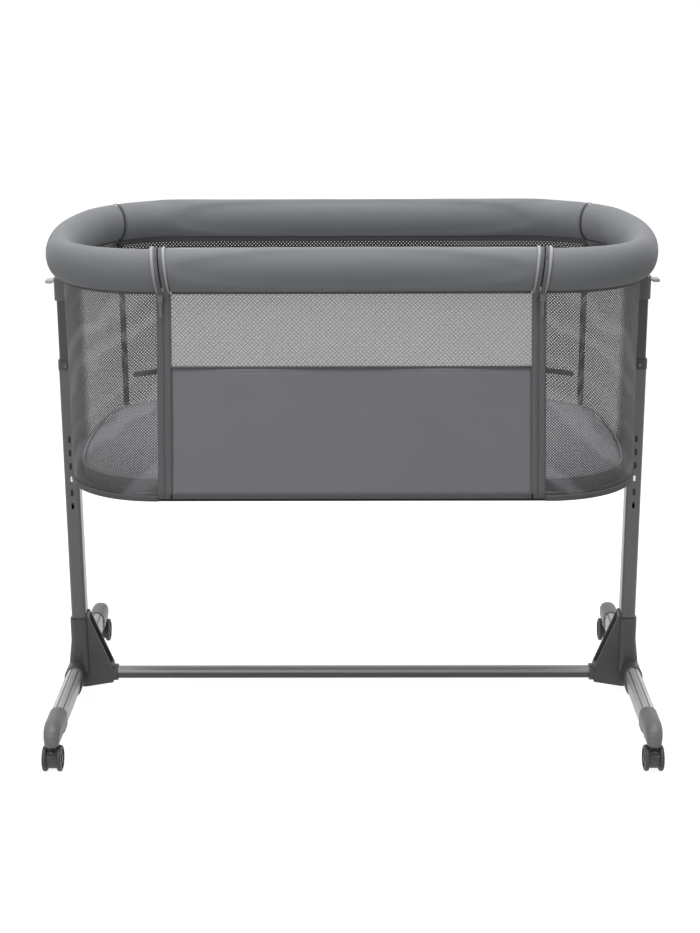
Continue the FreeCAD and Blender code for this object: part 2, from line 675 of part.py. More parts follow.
# ---------------------------------------------------------------- post head and lever
def post_head():
    outside = upright_prism(
        INNER_HALF_WIDTH + HEAD_WALL, INNER_HALF_DEPTH + HEAD_WALL, INNER_CORNER + HEAD_WALL,
        POST_X, 0, HEAD_BOTTOM, HEAD_TOP)
    seat = upright_prism(
        INNER_HALF_WIDTH, INNER_HALF_DEPTH, INNER_CORNER, POST_X, 0, HEAD_BOTTOM, INNER_POST_TOP)
    neck = block(
        NECK_INNER_X, NECK_OUTER_X, -NECK_HALF_DEPTH, NECK_HALF_DEPTH,
        HEAD_TOP - EDGE_SOFTNESS, RAIL_HEIGHT)
    tube = swept(
        disc_section(FIXED_START, -RAIL_HALF_DEPTH, RAIL_HEIGHT, RAIL_TUBE_RADIUS),
        RAIL.end_moves(FIXED_START, REAR_SEAM_ANGLE))
    half_room = LEVER_HALF_DEPTH + SLIDE_CLEARANCE
    room = block(
        LEVER_PIVOT_X - LEVER_SWING_ROOM, LEVER_TIP_X, -half_room, half_room,
        LEVER_PIVOT_Z - LEVER_THICKNESS / 2 - LEVER_SWING_ROOM,
        LEVER_PIVOT_Z + LEVER_THICKNESS / 2 + LEVER_TOP_ROOM)
    pivot_hole = Part.makeCylinder(
        LEVER_PIVOT_RADIUS + PIVOT_CLEARANCE, 2 * (half_room + HEAD_WALL / 2),
        vec(LEVER_PIVOT_X, -half_room - HEAD_WALL / 2, LEVER_PIVOT_Z), Y_AXIS)
    head = fused([outside, neck])
    return head.cut(seat).cut(tube).cut(room).cut(pivot_hole)


def release_lever():
    """A finger tab on a cross pin inside the head."""
    half = LEVER_THICKNESS / 2
    arm = soft_block(
        LEVER_PIVOT_X - LEVER_PIVOT_RADIUS, LEVER_TIP_X - LEVER_ROUNDING,
        -LEVER_HALF_DEPTH, LEVER_HALF_DEPTH,
        LEVER_PIVOT_Z - half, LEVER_PIVOT_Z + half, LEVER_ROUNDING)
    pad = soft_block(
        LEVER_TIP_X - LEVER_PAD_LENGTH, LEVER_TIP_X, -LEVER_HALF_DEPTH, LEVER_HALF_DEPTH,
        LEVER_PIVOT_Z + half - LEVER_PAD_THICKNESS, LEVER_PIVOT_Z + half, LEVER_PAD_ROUNDING)
    reach = LEVER_HALF_DEPTH + SLIDE_CLEARANCE + HEAD_WALL / 2 - PIVOT_CLEARANCE
    pin = Part.makeCylinder(
        LEVER_PIVOT_RADIUS, 2 * reach, vec(LEVER_PIVOT_X, -reach, LEVER_PIVOT_Z), Y_AXIS)
    return fused([arm, pad, pin])


# ---------------------------------------------------------------- base frame
def foot_bar_solid(low, high):
    return bar_along_y(FOOT_HALF_WIDTH, FOOT_HALF_HEIGHT, FOOT_CORNER, FOOT_X, FOOT_Z, low, high)


def foot_bar():
    outside = foot_bar_solid(-FOOT_HALF_LENGTH, FOOT_HALF_LENGTH)
    bore = bar_along_y(
        FOOT_HALF_WIDTH - FOOT_WALL, FOOT_HALF_HEIGHT - FOOT_WALL, FOOT_CORNER - FOOT_WALL,
        FOOT_X, FOOT_Z, -FOOT_HALF_LENGTH, FOOT_HALF_LENGTH)
    return outside.cut(bore)


def crossbar_solid(end):
    return bar_along_x(
        CROSSBAR_HALF_DEPTH, CROSSBAR_HALF_HEIGHT, CROSSBAR_CORNER, 0, CROSSBAR_Z, -end, end)


def crossbar():
    end = BRACKET_NOSE_X + CROSSBAR_INSERT
    bore = bar_along_x(
        CROSSBAR_HALF_DEPTH - CROSSBAR_WALL, CROSSBAR_HALF_HEIGHT - CROSSBAR_WALL,
        CROSSBAR_CORNER - CROSSBAR_WALL, 0, CROSSBAR_Z, -end, end)
    return crossbar_solid(end).cut(bore)


def post_socket():
    """The upright part of the bracket, which spreads outwards to the foot bar's sleeve."""
    inner_x = POST_X - POST_HALF_WIDTH - BRACKET_WALL_X
    straight_x = POST_X + POST_HALF_WIDTH + BRACKET_WALL_X
    spread_x = FOOT_X + FOOT_HALF_WIDTH + BRACKET_FOOT_WALL
    outlines = []
    for outer_x, z in ((spread_x, FOOT_Z), (straight_x, BRACKET_WAIST_Z), (straight_x, BRACKET_TOP)):
        wire = rounded_outline((outer_x - inner_x) / 2, BRACKET_HALF_DEPTH, POST_CORNER + BRACKET_WALL_X)
        wire.translate(vec((outer_x + inner_x) / 2, 0, z))
        outlines.append(wire)
    return Part.makeLoft(outlines, True, True)


def foot_sleeve():
    """The bracket's sleeve on the foot bar, with slanted ends."""
    sleeve = bar_along_y(
        FOOT_HALF_WIDTH + BRACKET_FOOT_WALL, FOOT_HALF_HEIGHT + BRACKET_FOOT_WALL,
        FOOT_CORNER + BRACKET_FOOT_WALL, FOOT_X, FOOT_Z,
        -BRACKET_FOOT_HALF_LENGTH, BRACKET_FOOT_HALF_LENGTH)
    low = FOOT_Z - FOOT_HALF_HEIGHT - BRACKET_FOOT_WALL
    high = FOOT_Z + FOOT_HALF_HEIGHT + BRACKET_FOOT_WALL
    short = BRACKET_FOOT_HALF_LENGTH - BRACKET_FOOT_SLANT
    beyond = BRACKET_FOOT_HALF_LENGTH + CUT_MARGIN
    half_x = FOOT_HALF_WIDTH + BRACKET_FOOT_WALL + CUT_MARGIN
    wedge = yz_plate(
        [(BRACKET_FOOT_HALF_LENGTH, low), (short, high), (short, high + CUT_MARGIN),
         (beyond, high + CUT_MARGIN), (beyond, low)],
        FOOT_X - half_x, FOOT_X + half_x)
    return sleeve.cut(wedge).cut(mirrored_y(wedge))


def bracket_web():
    """Two plates from the socket down to the ring round the crossbar, open along the slanted edge."""
    socket_inner_x = POST_X - POST_HALF_WIDTH - BRACKET_WALL_X
    web_end = socket_inner_x + POST_CORNER
    ring_end = BRACKET_NOSE_X + BRACKET_NOSE_LENGTH
    ring_top = CROSSBAR_Z + CROSSBAR_HALF_HEIGHT + BRACKET_NOSE_WALL
    ring_low = CROSSBAR_Z - CROSSBAR_HALF_HEIGHT - BRACKET_NOSE_WALL
    keel_low = FOOT_Z - FOOT_HALF_HEIGHT - BRACKET_FOOT_WALL - BRACKET_KEEL
    web = xz_plate(
        [(web_end, BRACKET_PEAK), (socket_inner_x, BRACKET_PEAK), (ring_end, ring_top),
         (ring_end, ring_low), (web_end, keel_low), (FOOT_X, keel_low), (FOOT_X, ring_top),
         (web_end, ring_top)],
        BRACKET_HALF_THICKNESS)
    half_gap = BRACKET_HALF_THICKNESS - BRACKET_PLATE
    recess = block(
        ring_end, socket_inner_x - BRACKET_BACK, -half_gap, half_gap,
        ring_top + BRACKET_FLOOR, BRACKET_PEAK)
    return web.cut(recess)


def base_bracket():
    """Ties the post, the foot bar and the crossbar together at one end of the base."""
    nose = bar_along_x(
        CROSSBAR_HALF_DEPTH + BRACKET_NOSE_WALL, CROSSBAR_HALF_HEIGHT + BRACKET_NOSE_WALL,
        CROSSBAR_CORNER + BRACKET_NOSE_WALL, 0, CROSSBAR_Z, BRACKET_NOSE_X, FOOT_X)
    bracket = fused([post_socket(), bracket_web(), nose, foot_sleeve()])
    post_space = upright_prism(
        POST_HALF_WIDTH, POST_HALF_DEPTH, POST_CORNER, POST_X, 0, POST_BOTTOM,
        BRACKET_PEAK + CUT_MARGIN)
    bracket = bracket.cut(post_space)
    bracket = bracket.cut(foot_bar_solid(-FOOT_HALF_LENGTH, FOOT_HALF_LENGTH))
    bracket = bracket.cut(crossbar_solid(BRACKET_NOSE_X + CROSSBAR_INSERT))
    for screw in bracket_screws():
        bracket = bracket.cut(screw)
    return bracket


def cap_section(half_width, inner, outer):
    """An outline across the cap, from a point on its underside to one on its top."""
    reach = outer - inner
    tilt = math.degrees(math.atan2(reach.z, -reach.y))
    wire = rounded_outline(half_width, reach.Length / 2, half_width - CAP_EDGE_FLAT)
    wire.rotate(vec(0, 0, 0), X_AXIS, -tilt)
    wire.translate((inner + outer) * 0.5)
    return wire


def foot_cap():
    """The front right cap: a sleeve on the foot bar that bends down over the caster."""
    half_x = FOOT_HALF_WIDTH + CAP_WALL
    top = FOOT_Z + FOOT_HALF_HEIGHT + CAP_WALL
    low = FOOT_Z - FOOT_HALF_HEIGHT - CAP_WALL
    sections = [
        cap_section(half_x, vec(FOOT_X, -y, low), vec(FOOT_X, -y, top))
        for y in (CAP_START_Y, CAP_KNEE_Y)
    ]
    rise = top - CAP_BOTTOM
    run = CAP_FRONT_Y - CAP_TURN_Y
    turn = vec(FOOT_X, -CAP_TURN_Y, CAP_BOTTOM)
    for step in range(CAP_BEND_STEPS + 1):
        angle = math.pi / 2 * (1 - step / CAP_BEND_STEPS)
        flat, steep = abs(math.cos(angle)), math.sin(angle)
        reach = ((flat / run) ** CAP_FULLNESS + (steep / rise) ** CAP_FULLNESS) ** (-1 / CAP_FULLNESS)
        way = vec(0, -flat, steep)
        half_width = CAP_TOE_HALF_WIDTH + (half_x - CAP_TOE_HALF_WIDTH) * math.sqrt(steep)
        sections.append(cap_section(half_width, turn + way * CAP_THROAT, turn + way * reach))
    body = Part.makeLoft(sections, True, True)
    hole = Part.makeCylinder(
        STEM_RADIUS + PIVOT_CLEARANCE, STEM_LENGTH + STEM_END_ROOM,
        vec(FOOT_X, -STEM_Y, CAP_BOTTOM), Z_AXIS)
    return body.cut(foot_bar_solid(-FOOT_HALF_LENGTH, 0)).cut(hole)


# ---------------------------------------------------------------- casters, built at the front right
def caster_y(out):
    """Y of a point so far out from the swivel axis, towards the trailing side."""
    return -(STEM_Y + out)


def across(half_width, radius, out, z):
    """A round bar lying across the caster."""
    return Part.makeCylinder(radius, 2 * half_width, vec(FOOT_X - half_width, caster_y(out), z), X_AXIS)


def caster_block(half_width, out0, out1, z0, z1):
    return block(FOOT_X - half_width, FOOT_X + half_width, caster_y(out1), caster_y(out0), z0, z1)


def caster_fork(braked):
    disc_low = 2 * WHEEL_RADIUS + WHEEL_TOP_GAP
    stem_height = CAP_BOTTOM + STEM_LENGTH - disc_low
    stem = Part.makeCylinder(STEM_RADIUS, stem_height, vec(FOOT_X, -STEM_Y, disc_low), Z_AXIS)
    disc = Part.makeCylinder(
        CASTER_DISC_RADIUS, CASTER_DISC_THICKNESS, vec(FOOT_X, -STEM_Y, disc_low), Z_AXIS)
    hub = across(WEB_HALF_WIDTH, WEB_HUB_RADIUS, CASTER_TRAIL, WHEEL_RADIUS)
    web = caster_block(
        WEB_HALF_WIDTH, -WEB_REACH, CASTER_TRAIL + STEM_RADIUS, WHEEL_RADIUS,
        disc_low + CASTER_DISC_THICKNESS / 2)
    pieces = [stem, disc, hub, web]
    if braked:
        ear = caster_block(
            BRAKE_EAR_HALF_WIDTH, CASTER_TRAIL, BRAKE_PIVOT_OUT, BRAKE_PIVOT_Z - BRAKE_THICKNESS,
            BRAKE_PIVOT_Z + BRAKE_THICKNESS)
        pieces += [ear, across(BRAKE_EAR_HALF_WIDTH, BRAKE_THICKNESS, BRAKE_PIVOT_OUT, BRAKE_PIVOT_Z)]
    fork = fused(pieces)
    fork = fork.cut(across(
        WEB_HALF_WIDTH + CUT_MARGIN, AXLE_RADIUS + PIVOT_CLEARANCE, CASTER_TRAIL, WHEEL_RADIUS))
    if braked:
        fork = fork.cut(across(
            WEB_HALF_WIDTH, BRAKE_PIN_RADIUS + PIVOT_CLEARANCE, BRAKE_PIVOT_OUT, BRAKE_PIVOT_Z))
    return fork


def caster_wheel():
    """The outer wheel of a pair, pressed onto the axle."""
    inner = WEB_HALF_WIDTH + WHEEL_SIDE_GAP
    centre = vec(FOOT_X + inner, caster_y(CASTER_TRAIL), WHEEL_RADIUS)
    tyre = Part.makeCylinder(WHEEL_RADIUS, WHEEL_WIDTH, centre, X_AXIS)
    rims = [edge for edge in tyre.Edges if edge.Closed and len(edge.Vertexes) == 1]
    tyre = tyre.makeFillet(WHEEL_EDGE, rims)
    recess_at = centre + vec(WHEEL_WIDTH - WHEEL_RECESS_DEPTH, 0, 0)
    recess = Part.makeCylinder(WHEEL_RECESS_RADIUS, WHEEL_RECESS_DEPTH, recess_at, X_AXIS)
    boss = Part.makeCylinder(WHEEL_BOSS_RADIUS, WHEEL_RECESS_DEPTH, recess_at, X_AXIS)
    hole = Part.makeCylinder(AXLE_RADIUS, WHEEL_WIDTH, centre, X_AXIS)
    return tyre.cut(recess.cut(boss)).cut(hole)


def caster_wheels():
    wheel = caster_wheel()
    other = wheel.mirror(vec(FOOT_X, 0, 0), X_AXIS)
    return Part.makeCompound([wheel, other])


def caster_axle():
    half = WEB_HALF_WIDTH + WHEEL_SIDE_GAP + WHEEL_WIDTH - PIVOT_CLEARANCE
    return across(half, AXLE_RADIUS, CASTER_TRAIL, WHEEL_RADIUS)


def brake_pedal():
    """Two cheeks on a cross pin, joined by a foot pad beyond the wheels."""
    cheek_inner = BRAKE_EAR_HALF_WIDTH + BRAKE_CHEEK_GAP
    low = BRAKE_PIVOT_Z - BRAKE_THICKNESS
    bridge_out = BRAKE_PIVOT_OUT + BRAKE_THICKNESS + BRAKE_CHEEK_GAP
    outside = caster_block(
        BRAKE_HALF_WIDTH, BRAKE_PIVOT_OUT, bridge_out + BRAKE_PAD_ROUNDING, low,
        BRAKE_PIVOT_Z + BRAKE_THICKNESS)
    eye = across(BRAKE_HALF_WIDTH, BRAKE_THICKNESS, BRAKE_PIVOT_OUT, BRAKE_PIVOT_Z)
    gap = caster_block(
        cheek_inner, BRAKE_PIVOT_OUT - 2 * BRAKE_THICKNESS, bridge_out, low - CUT_MARGIN,
        BRAKE_PIVOT_Z + BRAKE_THICKNESS + CUT_MARGIN)
    cheeks = fused([outside, eye]).cut(gap)
    plate = caster_block(
        BRAKE_HALF_WIDTH, bridge_out, BRAKE_REACH - BRAKE_PAD_ROUNDING, low, low + BRAKE_THICKNESS)
    pad = soft_block(
        FOOT_X - BRAKE_PAD_HALF_WIDTH, FOOT_X + BRAKE_PAD_HALF_WIDTH,
        caster_y(BRAKE_REACH), caster_y(BRAKE_REACH - BRAKE_PAD_LENGTH), low, low + BRAKE_THICKNESS,
        BRAKE_PAD_ROUNDING)
    pin = across(BRAKE_HALF_WIDTH - PIVOT_CLEARANCE, BRAKE_PIN_RADIUS, BRAKE_PIVOT_OUT, BRAKE_PIVOT_Z)
    return fused([cheeks, plate, pad, pin])


# ---------------------------------------------------------------- all pieces by name
parts = {
    "crossbar": crossbar(),
    "rear_rail_tube": rear_rail_tube(),
    "rear_rail_cover": rear_rail_cover(),
    "rear_mesh": rear_mesh(),
    "lower_frame": lower_frame(),
    "bottom_cloth": bottom_cloth(),
    "base_board": base_board(),
    "mattress": mattress(),
    "front_rail_tube": front_rail_tube(),
    "front_rail_cover": front_rail_cover(),
    "front_mesh_window": front_sheet(PANEL_TOP + SEWN_GAP, WALL_TOP),
    "front_fabric_panel": front_sheet(PANEL_BOTTOM, PANEL_TOP),
}

both_ends = {
    "base_bracket": base_bracket(),
    "outer_post": outer_post(),
    "post_collar": post_collar(),
    "foot_bar": foot_bar(),
    "inner_post": inner_post(),
    "latch_pin": latch_pin(),
    "post_head": post_head(),
    "release_lever": release_lever(),
    "end_rail_tube": end_rail_tube(),
    "end_rail_cover": end_rail_cover(),
    "end_mesh": end_mesh(),
    "end_band": end_band(),
    "zipper_slider": zipper_slider(),
}
for name, shape in both_ends.items():
    parts["right_" + name] = shape
    parts["left_" + name] = mirrored_x(shape)

for depth, is_front in (("front", True), ("rear", False)):
    corner = {
        "foot_cap": foot_cap(),
        "caster_fork": caster_fork(is_front),
        "caster_wheels": caster_wheels(),
        "caster_axle": caster_axle(),
    }
    if is_front:
        corner["brake_pedal"] = brake_pedal()
    for name, shape in corner.items():
        right = shape if is_front else mirrored_y(shape)
        parts[depth + "_right_" + name] = right
        parts[depth + "_left_" + name] = mirrored_x(right)

screws = bracket_screws() + [collar_screw()]
parts["frame_screws"] = Part.makeCompound(screws + [mirrored_x(screw) for screw in screws])
parts["zipper_tapes"] = Part.makeCompound([zipper_tape(), mirrored_x(zipper_tape())])
parts["webbing_tabs"] = Part.makeCompound([webbing_tab(), mirrored_x(webbing_tab())])

os.makedirs("parts", exist_ok=True)
for name, shape in parts.items():
    shape.exportStep("parts/" + name + ".step")
    print(name, "solids", len(shape.Solids), "volume", round(shape.Volume), "valid", shape.isValid())
print(len(parts), "nodes")
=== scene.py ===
import logging
import math
from dataclasses import dataclass
from enum import Enum
from typing import Callable, Iterable, Sequence

import bpy
from mathutils import Matrix, Vector


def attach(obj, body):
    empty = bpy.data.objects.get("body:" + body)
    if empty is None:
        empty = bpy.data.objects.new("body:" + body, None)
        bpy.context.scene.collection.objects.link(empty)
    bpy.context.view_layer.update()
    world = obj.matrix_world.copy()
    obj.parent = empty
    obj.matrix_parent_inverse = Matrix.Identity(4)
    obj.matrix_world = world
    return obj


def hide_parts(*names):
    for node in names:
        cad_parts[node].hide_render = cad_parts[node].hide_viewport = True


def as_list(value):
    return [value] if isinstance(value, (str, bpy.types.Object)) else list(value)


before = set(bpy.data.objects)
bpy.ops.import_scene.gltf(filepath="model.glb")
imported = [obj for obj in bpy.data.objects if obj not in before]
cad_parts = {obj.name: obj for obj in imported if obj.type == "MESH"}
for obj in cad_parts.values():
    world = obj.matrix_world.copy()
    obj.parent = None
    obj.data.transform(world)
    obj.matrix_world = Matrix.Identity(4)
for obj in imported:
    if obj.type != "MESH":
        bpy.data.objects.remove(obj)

log = logging.getLogger("crib")

Point = tuple[float, float, float]
Colour = tuple[float, float, float, float]
Surface = tuple[list[Vector], list[tuple[int, ...]], list[tuple[float, float]]]
SEEN_RAYS = ("Camera", "Glossy", "Transmission")


# ------------------------------------------------------------------ shader building blocks
class Term:
    """A node's output in an expression: each operator adds one Math node."""

    def __init__(self, tree: bpy.types.NodeTree, socket: bpy.types.NodeSocket) -> None:
        """Wrap one output socket of the tree."""
        self.tree = tree
        self.socket = socket

    def _math(self, operation: str, *values: "Term | float") -> "Term":
        """Add a Math node.

        Args:
            operation: the Math node's operation.
            values: terms or numbers for its inputs, in order.

        Returns:
            The node's result.
        """
        made = self.tree.nodes.new("ShaderNodeMath")
        made.operation = operation
        for slot, value in zip(made.inputs, values):
            if isinstance(value, Term):
                self.tree.links.new(value.socket, slot)
            else:
                slot.default_value = value
        return Term(self.tree, made.outputs[0])

    def __add__(self, other: "Term | float") -> "Term":
        """Sum."""
        return self._math("ADD", self, other)

    __radd__ = __add__

    def __sub__(self, other: "Term | float") -> "Term":
        """Difference."""
        return self._math("SUBTRACT", self, other)

    def __rsub__(self, other: float) -> "Term":
        """Difference from a number."""
        return self._math("SUBTRACT", other, self)

    def __mul__(self, other: "Term | float") -> "Term":
        """Product."""
        return self._math("MULTIPLY", self, other)

    __rmul__ = __mul__

    def __truediv__(self, other: "Term | float") -> "Term":
        """Quotient."""
        return self._math("DIVIDE", self, other)

    def sine(self) -> "Term":
        """Sine, in radians."""
        return self._math("SINE", self)

    def centred_fraction(self) -> "Term":
        """Distance from the nearest whole number, with its sign."""
        return self._math("FRACT", self + 0.5) - 0.5

    def __abs__(self) -> "Term":
        """Size without its sign."""
        return self._math("ABSOLUTE", self)

    def root(self) -> "Term":
        """Square root."""
        return self._math("SQRT", self)

    def least(self, other: "Term | float") -> "Term":
        """The smaller of two values."""
        return self._math("MINIMUM", self, other)


class Coords(Enum):
    """Where a pattern takes its place from."""

    SURFACE = "UV"
    SPACE = "Object"


class Layout:
    """A node tree while its nodes are laid out."""

    def __init__(self, tree: bpy.types.NodeTree) -> None:
        """Start on a tree."""
        self.tree = tree

    def node(
        self, kind: str, settings: dict[str, object], inputs: dict[str | int, object],
        output: str | int = 0,
    ) -> Term:
        """Add any node.

        Args:
            kind: the node's type.
            settings: its properties, set first; "stops" gives a ramp's positions and colours.
            inputs: values or terms for its sockets, by name or number.
            output: which socket is the result.

        Returns:
            The result.
        """
        made = self.tree.nodes.new(kind)
        for key, value in settings.items():
            if key == "stops":
                self._stops(made.color_ramp, value)
            else:
                setattr(made, key, value)
        for key, value in inputs.items():
            if isinstance(value, Term):
                self.tree.links.new(value.socket, made.inputs[key])
            else:
                made.inputs[key].default_value = value
        return Term(self.tree, made.outputs[output])

    def seen(self) -> Term:
        """1 for rays from the camera, in reflections and through glass, 0 for light."""
        path = self.node("ShaderNodeLightPath", {}, {}).socket.node.outputs
        rays = [Term(self.tree, path[f"Is {kind} Ray"]) for kind in SEEN_RAYS]
        return (rays[0] + rays[1] + rays[2]).least(1.0)

    @staticmethod
    def _stops(ramp: bpy.types.ColorRamp, stops: Sequence[tuple[float, Colour]]) -> None:
        """Set a ramp's stops: each one's position and colour, in order.

        Args:
            ramp: the ramp.
            stops: the positions and colours.
        """
        while len(ramp.elements) < len(stops):
            ramp.elements.new(1.0)
        for element, (position, colour) in zip(ramp.elements, stops):
            element.position = position
            element.color = colour


class Recipe(Layout):
    """A material while its nodes are laid out."""

    def __init__(self, name: str) -> None:
        """Start a material with a Principled shader.

        Args:
            name: the material's name.
        """
        self.material = bpy.data.materials.new(name)
        self.material.use_nodes = True
        super().__init__(self.material.node_tree)
        self.shader = self.tree.nodes["Principled BSDF"]

    def place(self, source: Coords, stretch: Point = (1.0, 1.0, 1.0)) -> Term:
        """Coordinates of the surface or of the space round it.

        Args:
            source: which coordinates.
            stretch: scale along each axis.

        Returns:
            The coordinates as a vector.
        """
        raw = self.node("ShaderNodeTexCoord", {}, {}, source.value)
        return self.node("ShaderNodeMapping", {}, {"Vector": raw, "Scale": stretch})

    def axes(self, vector: Term) -> tuple[Term, Term, Term]:
        """The three parts of a vector."""
        first = self.node("ShaderNodeSeparateXYZ", {}, {"Vector": vector})
        outputs = first.socket.node.outputs
        return first, Term(self.tree, outputs[1]), Term(self.tree, outputs[2])

    def noise(self, vector: Term, scale: float, detail: float) -> Term:
        """Smooth noise from 0 to 1, with its scale in cells a metre."""
        return self.node(
            "ShaderNodeTexNoise", {}, {"Vector": vector, "Scale": scale, "Detail": detail})

    def mixed(self, factor: Term | float, low: Term | Colour, high: Term | Colour) -> Term:
        """A colour between two others."""
        return self.node(
            "ShaderNodeMix", {"data_type": "RGBA"}, {0: factor, 6: low, 7: high}, 2)

    def step(self, value: Term, low: float, high: float) -> Term:
        """A smooth step from 0 to 1 between two values.

        Args:
            value: what is compared.
            low: where 0 ends.
            high: where 1 begins.

        Returns:
            The step.
        """
        return self.node(
            "ShaderNodeMapRange",
            {"interpolation_type": "SMOOTHSTEP"},
            {"Value": value, "From Min": low, "From Max": high, "To Min": 0.0, "To Max": 1.0})

    def feed(self, **sockets: Term | float) -> None:
        """Link or set sockets of the shader.

        Args:
            sockets: values by socket name, with underscores for spaces.
        """
        for key, value in sockets.items():
            slot = self.shader.inputs[key.replace("_", " ")]
            if isinstance(value, Term):
                self.tree.links.new(value.socket, slot)
            else:
                slot.default_value = value

    def relief(self, height: Term, depth: float, strength: float) -> None:
        """Raise the surface by a height pattern.

        Args:
            height: the pattern, from 0 to 1.
            depth: how high 1 stands, in metres.
            strength: how much of it shows.
        """
        bump = self.node(
            "ShaderNodeBump", {}, {"Height": height, "Distance": depth, "Strength": strength})
        self.feed(Normal=bump)


@dataclass(frozen=True)
class Tint:
    """A colour as it looks on screen, each channel from 0 to 255."""

    red: float
    green: float
    blue: float

    def linear(self, gain: float = 1.0) -> Colour:
        """The colour as the shader wants it, lightened or darkened by gain.

        Args:
            gain: how much lighter than written.

        Returns:
            The colour with full opacity.
        """
        def channel(value: float) -> float:
            """One channel, from screen value to light."""
            share = min(max(value / 255.0, 0.0), 1.0)
            light = share / 12.92 if share <= 0.04045 else ((share + 0.055) / 1.055) ** 2.4
            return min(light * gain, 1.0)
        return channel(self.red), channel(self.green), channel(self.blue), 1.0


# ------------------------------------------------------------------ finishes
class Coat:
    """A finish that lays its own nodes out."""

    name: str

    def material(self) -> bpy.types.Material:
        """Make the finish's material."""
        recipe = Recipe(self.name)
        self.lay(recipe)
        return recipe.material

    def lay(self, recipe: Recipe) -> None:
        """Lay the nodes out."""
        raise NotImplementedError


@dataclass(frozen=True)
class WovenCloth(Coat):
    """A close weave with a heathered colour."""

    name: str
    tint: Tint
    coords: Coords = Coords.SURFACE
    thread: float = 0.0011
    depth: float = 0.00025
    heather: float = 0.10
    mottle: float = 0.05

    def lay(self, recipe: Recipe) -> None:
        """Lay out the weave.

        Args:
            recipe: the material being laid out.
        """
        where = recipe.place(self.coords)
        along, across, up = recipe.axes(where)
        if self.coords is Coords.SPACE:
            across = across + up
        turns = 2 * math.pi / self.thread
        over = (along * turns).sine() * (across * turns).sine()
        rib = ((along + across) * (turns / 2)).sine()
        weave = over * 0.35 + rib * 0.15 + 0.5
        fleck = recipe.noise(where, 1 / (self.thread * 2.2), 2.0)
        cloud = recipe.noise(where, 14.0, 4.0)
        tone = fleck * self.heather + cloud * self.mottle + weave * 0.10
        dark = self.tint.linear(0.86)
        light = self.tint.linear(1.10)
        shade = recipe.step(tone, 0.02, 0.10 + self.heather + self.mottle)
        recipe.feed(
            Base_Color=recipe.mixed(shade, dark, light),
            Roughness=0.78 + fleck * 0.14,
            Sheen_Weight=0.18,
            Sheen_Roughness=0.45,
            Specular_IOR_Level=0.30)
        recipe.relief(weave * 0.6 + fleck * 0.4, self.depth, 0.55)


@dataclass(frozen=True)
class KnitMesh(Coat):
    """An open knit: staggered round holes in a matt thread.

    fade gives a run on the surface, the distance from it that stays closed, and the distance at
    which the holes have their full size. The sheen streaks setting tells how much lighter the knit
    is painted along the slanting lines where it is stretched, as a painted sheen.
    """

    name: str
    tint: Tint
    pitch: float = 0.0042
    hole: float = 0.00102
    fade: tuple[float, float, float] | None = None
    sheen_streaks: float = 0.0

    def lay(self, recipe: Recipe) -> None:
        """Lay out the knit.

        Args:
            recipe: the material being laid out.
        """
        where = recipe.place(Coords.SURFACE)
        along, up, _ = recipe.axes(where)
        ring = self._nearest(along, up, 0.0).least(self._nearest(along, up, 0.5))
        if self.fade is not None:
            middle, plain, end = self.fade
            from_middle = abs(abs(along) - middle)
            ring = ring + (1.0 - recipe.step(from_middle, plain, end)) * (self.hole * 1.3)
        solid = recipe.step(ring, self.hole * 0.86, self.hole * 1.14)
        lip = recipe.step(ring, self.hole, self.pitch * 0.5)
        fleck = recipe.noise(where, 900.0, 2.0)
        cloud = recipe.noise(where, 9.0, 3.0)
        shade = lip * 0.45 + fleck * 0.3 + cloud * 0.25
        coat = recipe.mixed(shade, self.tint.linear(0.72), self.tint.linear(1.22))
        # painted sheen: the knit's colour is lightened along slanting streaks where it is stretched
        if self.sheen_streaks:
            slant = up * 105.0 + abs(along) * 82.0
            sheen_pull = (slant + cloud * 11.0).sine() + (slant * 0.43 + cloud * 5.0).sine()
            coat = recipe.mixed(recipe.step(sheen_pull, -0.2, 1.7), coat, self.tint.linear(self.sheen_streaks))
        recipe.feed(
            Base_Color=coat,
            Roughness=0.66 + fleck * 0.2,
            Alpha=solid,
            Sheen_Weight=0.12,
            Specular_IOR_Level=0.35)
        recipe.relief(lip, 0.0004, 0.6)

    def _nearest(self, along: Term, up: Term, shift: float) -> Term:
        """Distance to the nearest hole of one of the two staggered rows."""
        left = (along / self.pitch + shift).centred_fraction() * self.pitch
        rise = (up / self.pitch + shift).centred_fraction() * self.pitch
        return (left * left + rise * rise).root()


@dataclass(frozen=True)
class RibbedTape(Coat):
    """A woven tape with fine ribs along it."""

    name: str
    tint: Tint
    rib: float = 0.0012
    depth: float = 0.0003

    def lay(self, recipe: Recipe) -> None:
        """Lay out the ribs.

        Args:
            recipe: the material being laid out.
        """
        where = recipe.place(Coords.SURFACE)
        along, across, _ = recipe.axes(where)
        turns = 2 * math.pi / self.rib
        ribs = (across * turns).sine() * 0.35 + (along * turns * 0.6).sine() * 0.15 + 0.5
        fleck = recipe.noise(where, 1100.0, 2.0)
        shade = ribs * 0.6 + fleck * 0.4
        recipe.feed(
            Base_Color=recipe.mixed(shade, self.tint.linear(0.74), self.tint.linear(1.16)),
            Roughness=0.72 + fleck * 0.15,
            Sheen_Weight=0.1,
            Specular_IOR_Level=0.35)
        recipe.relief(ribs, self.depth, 0.7)


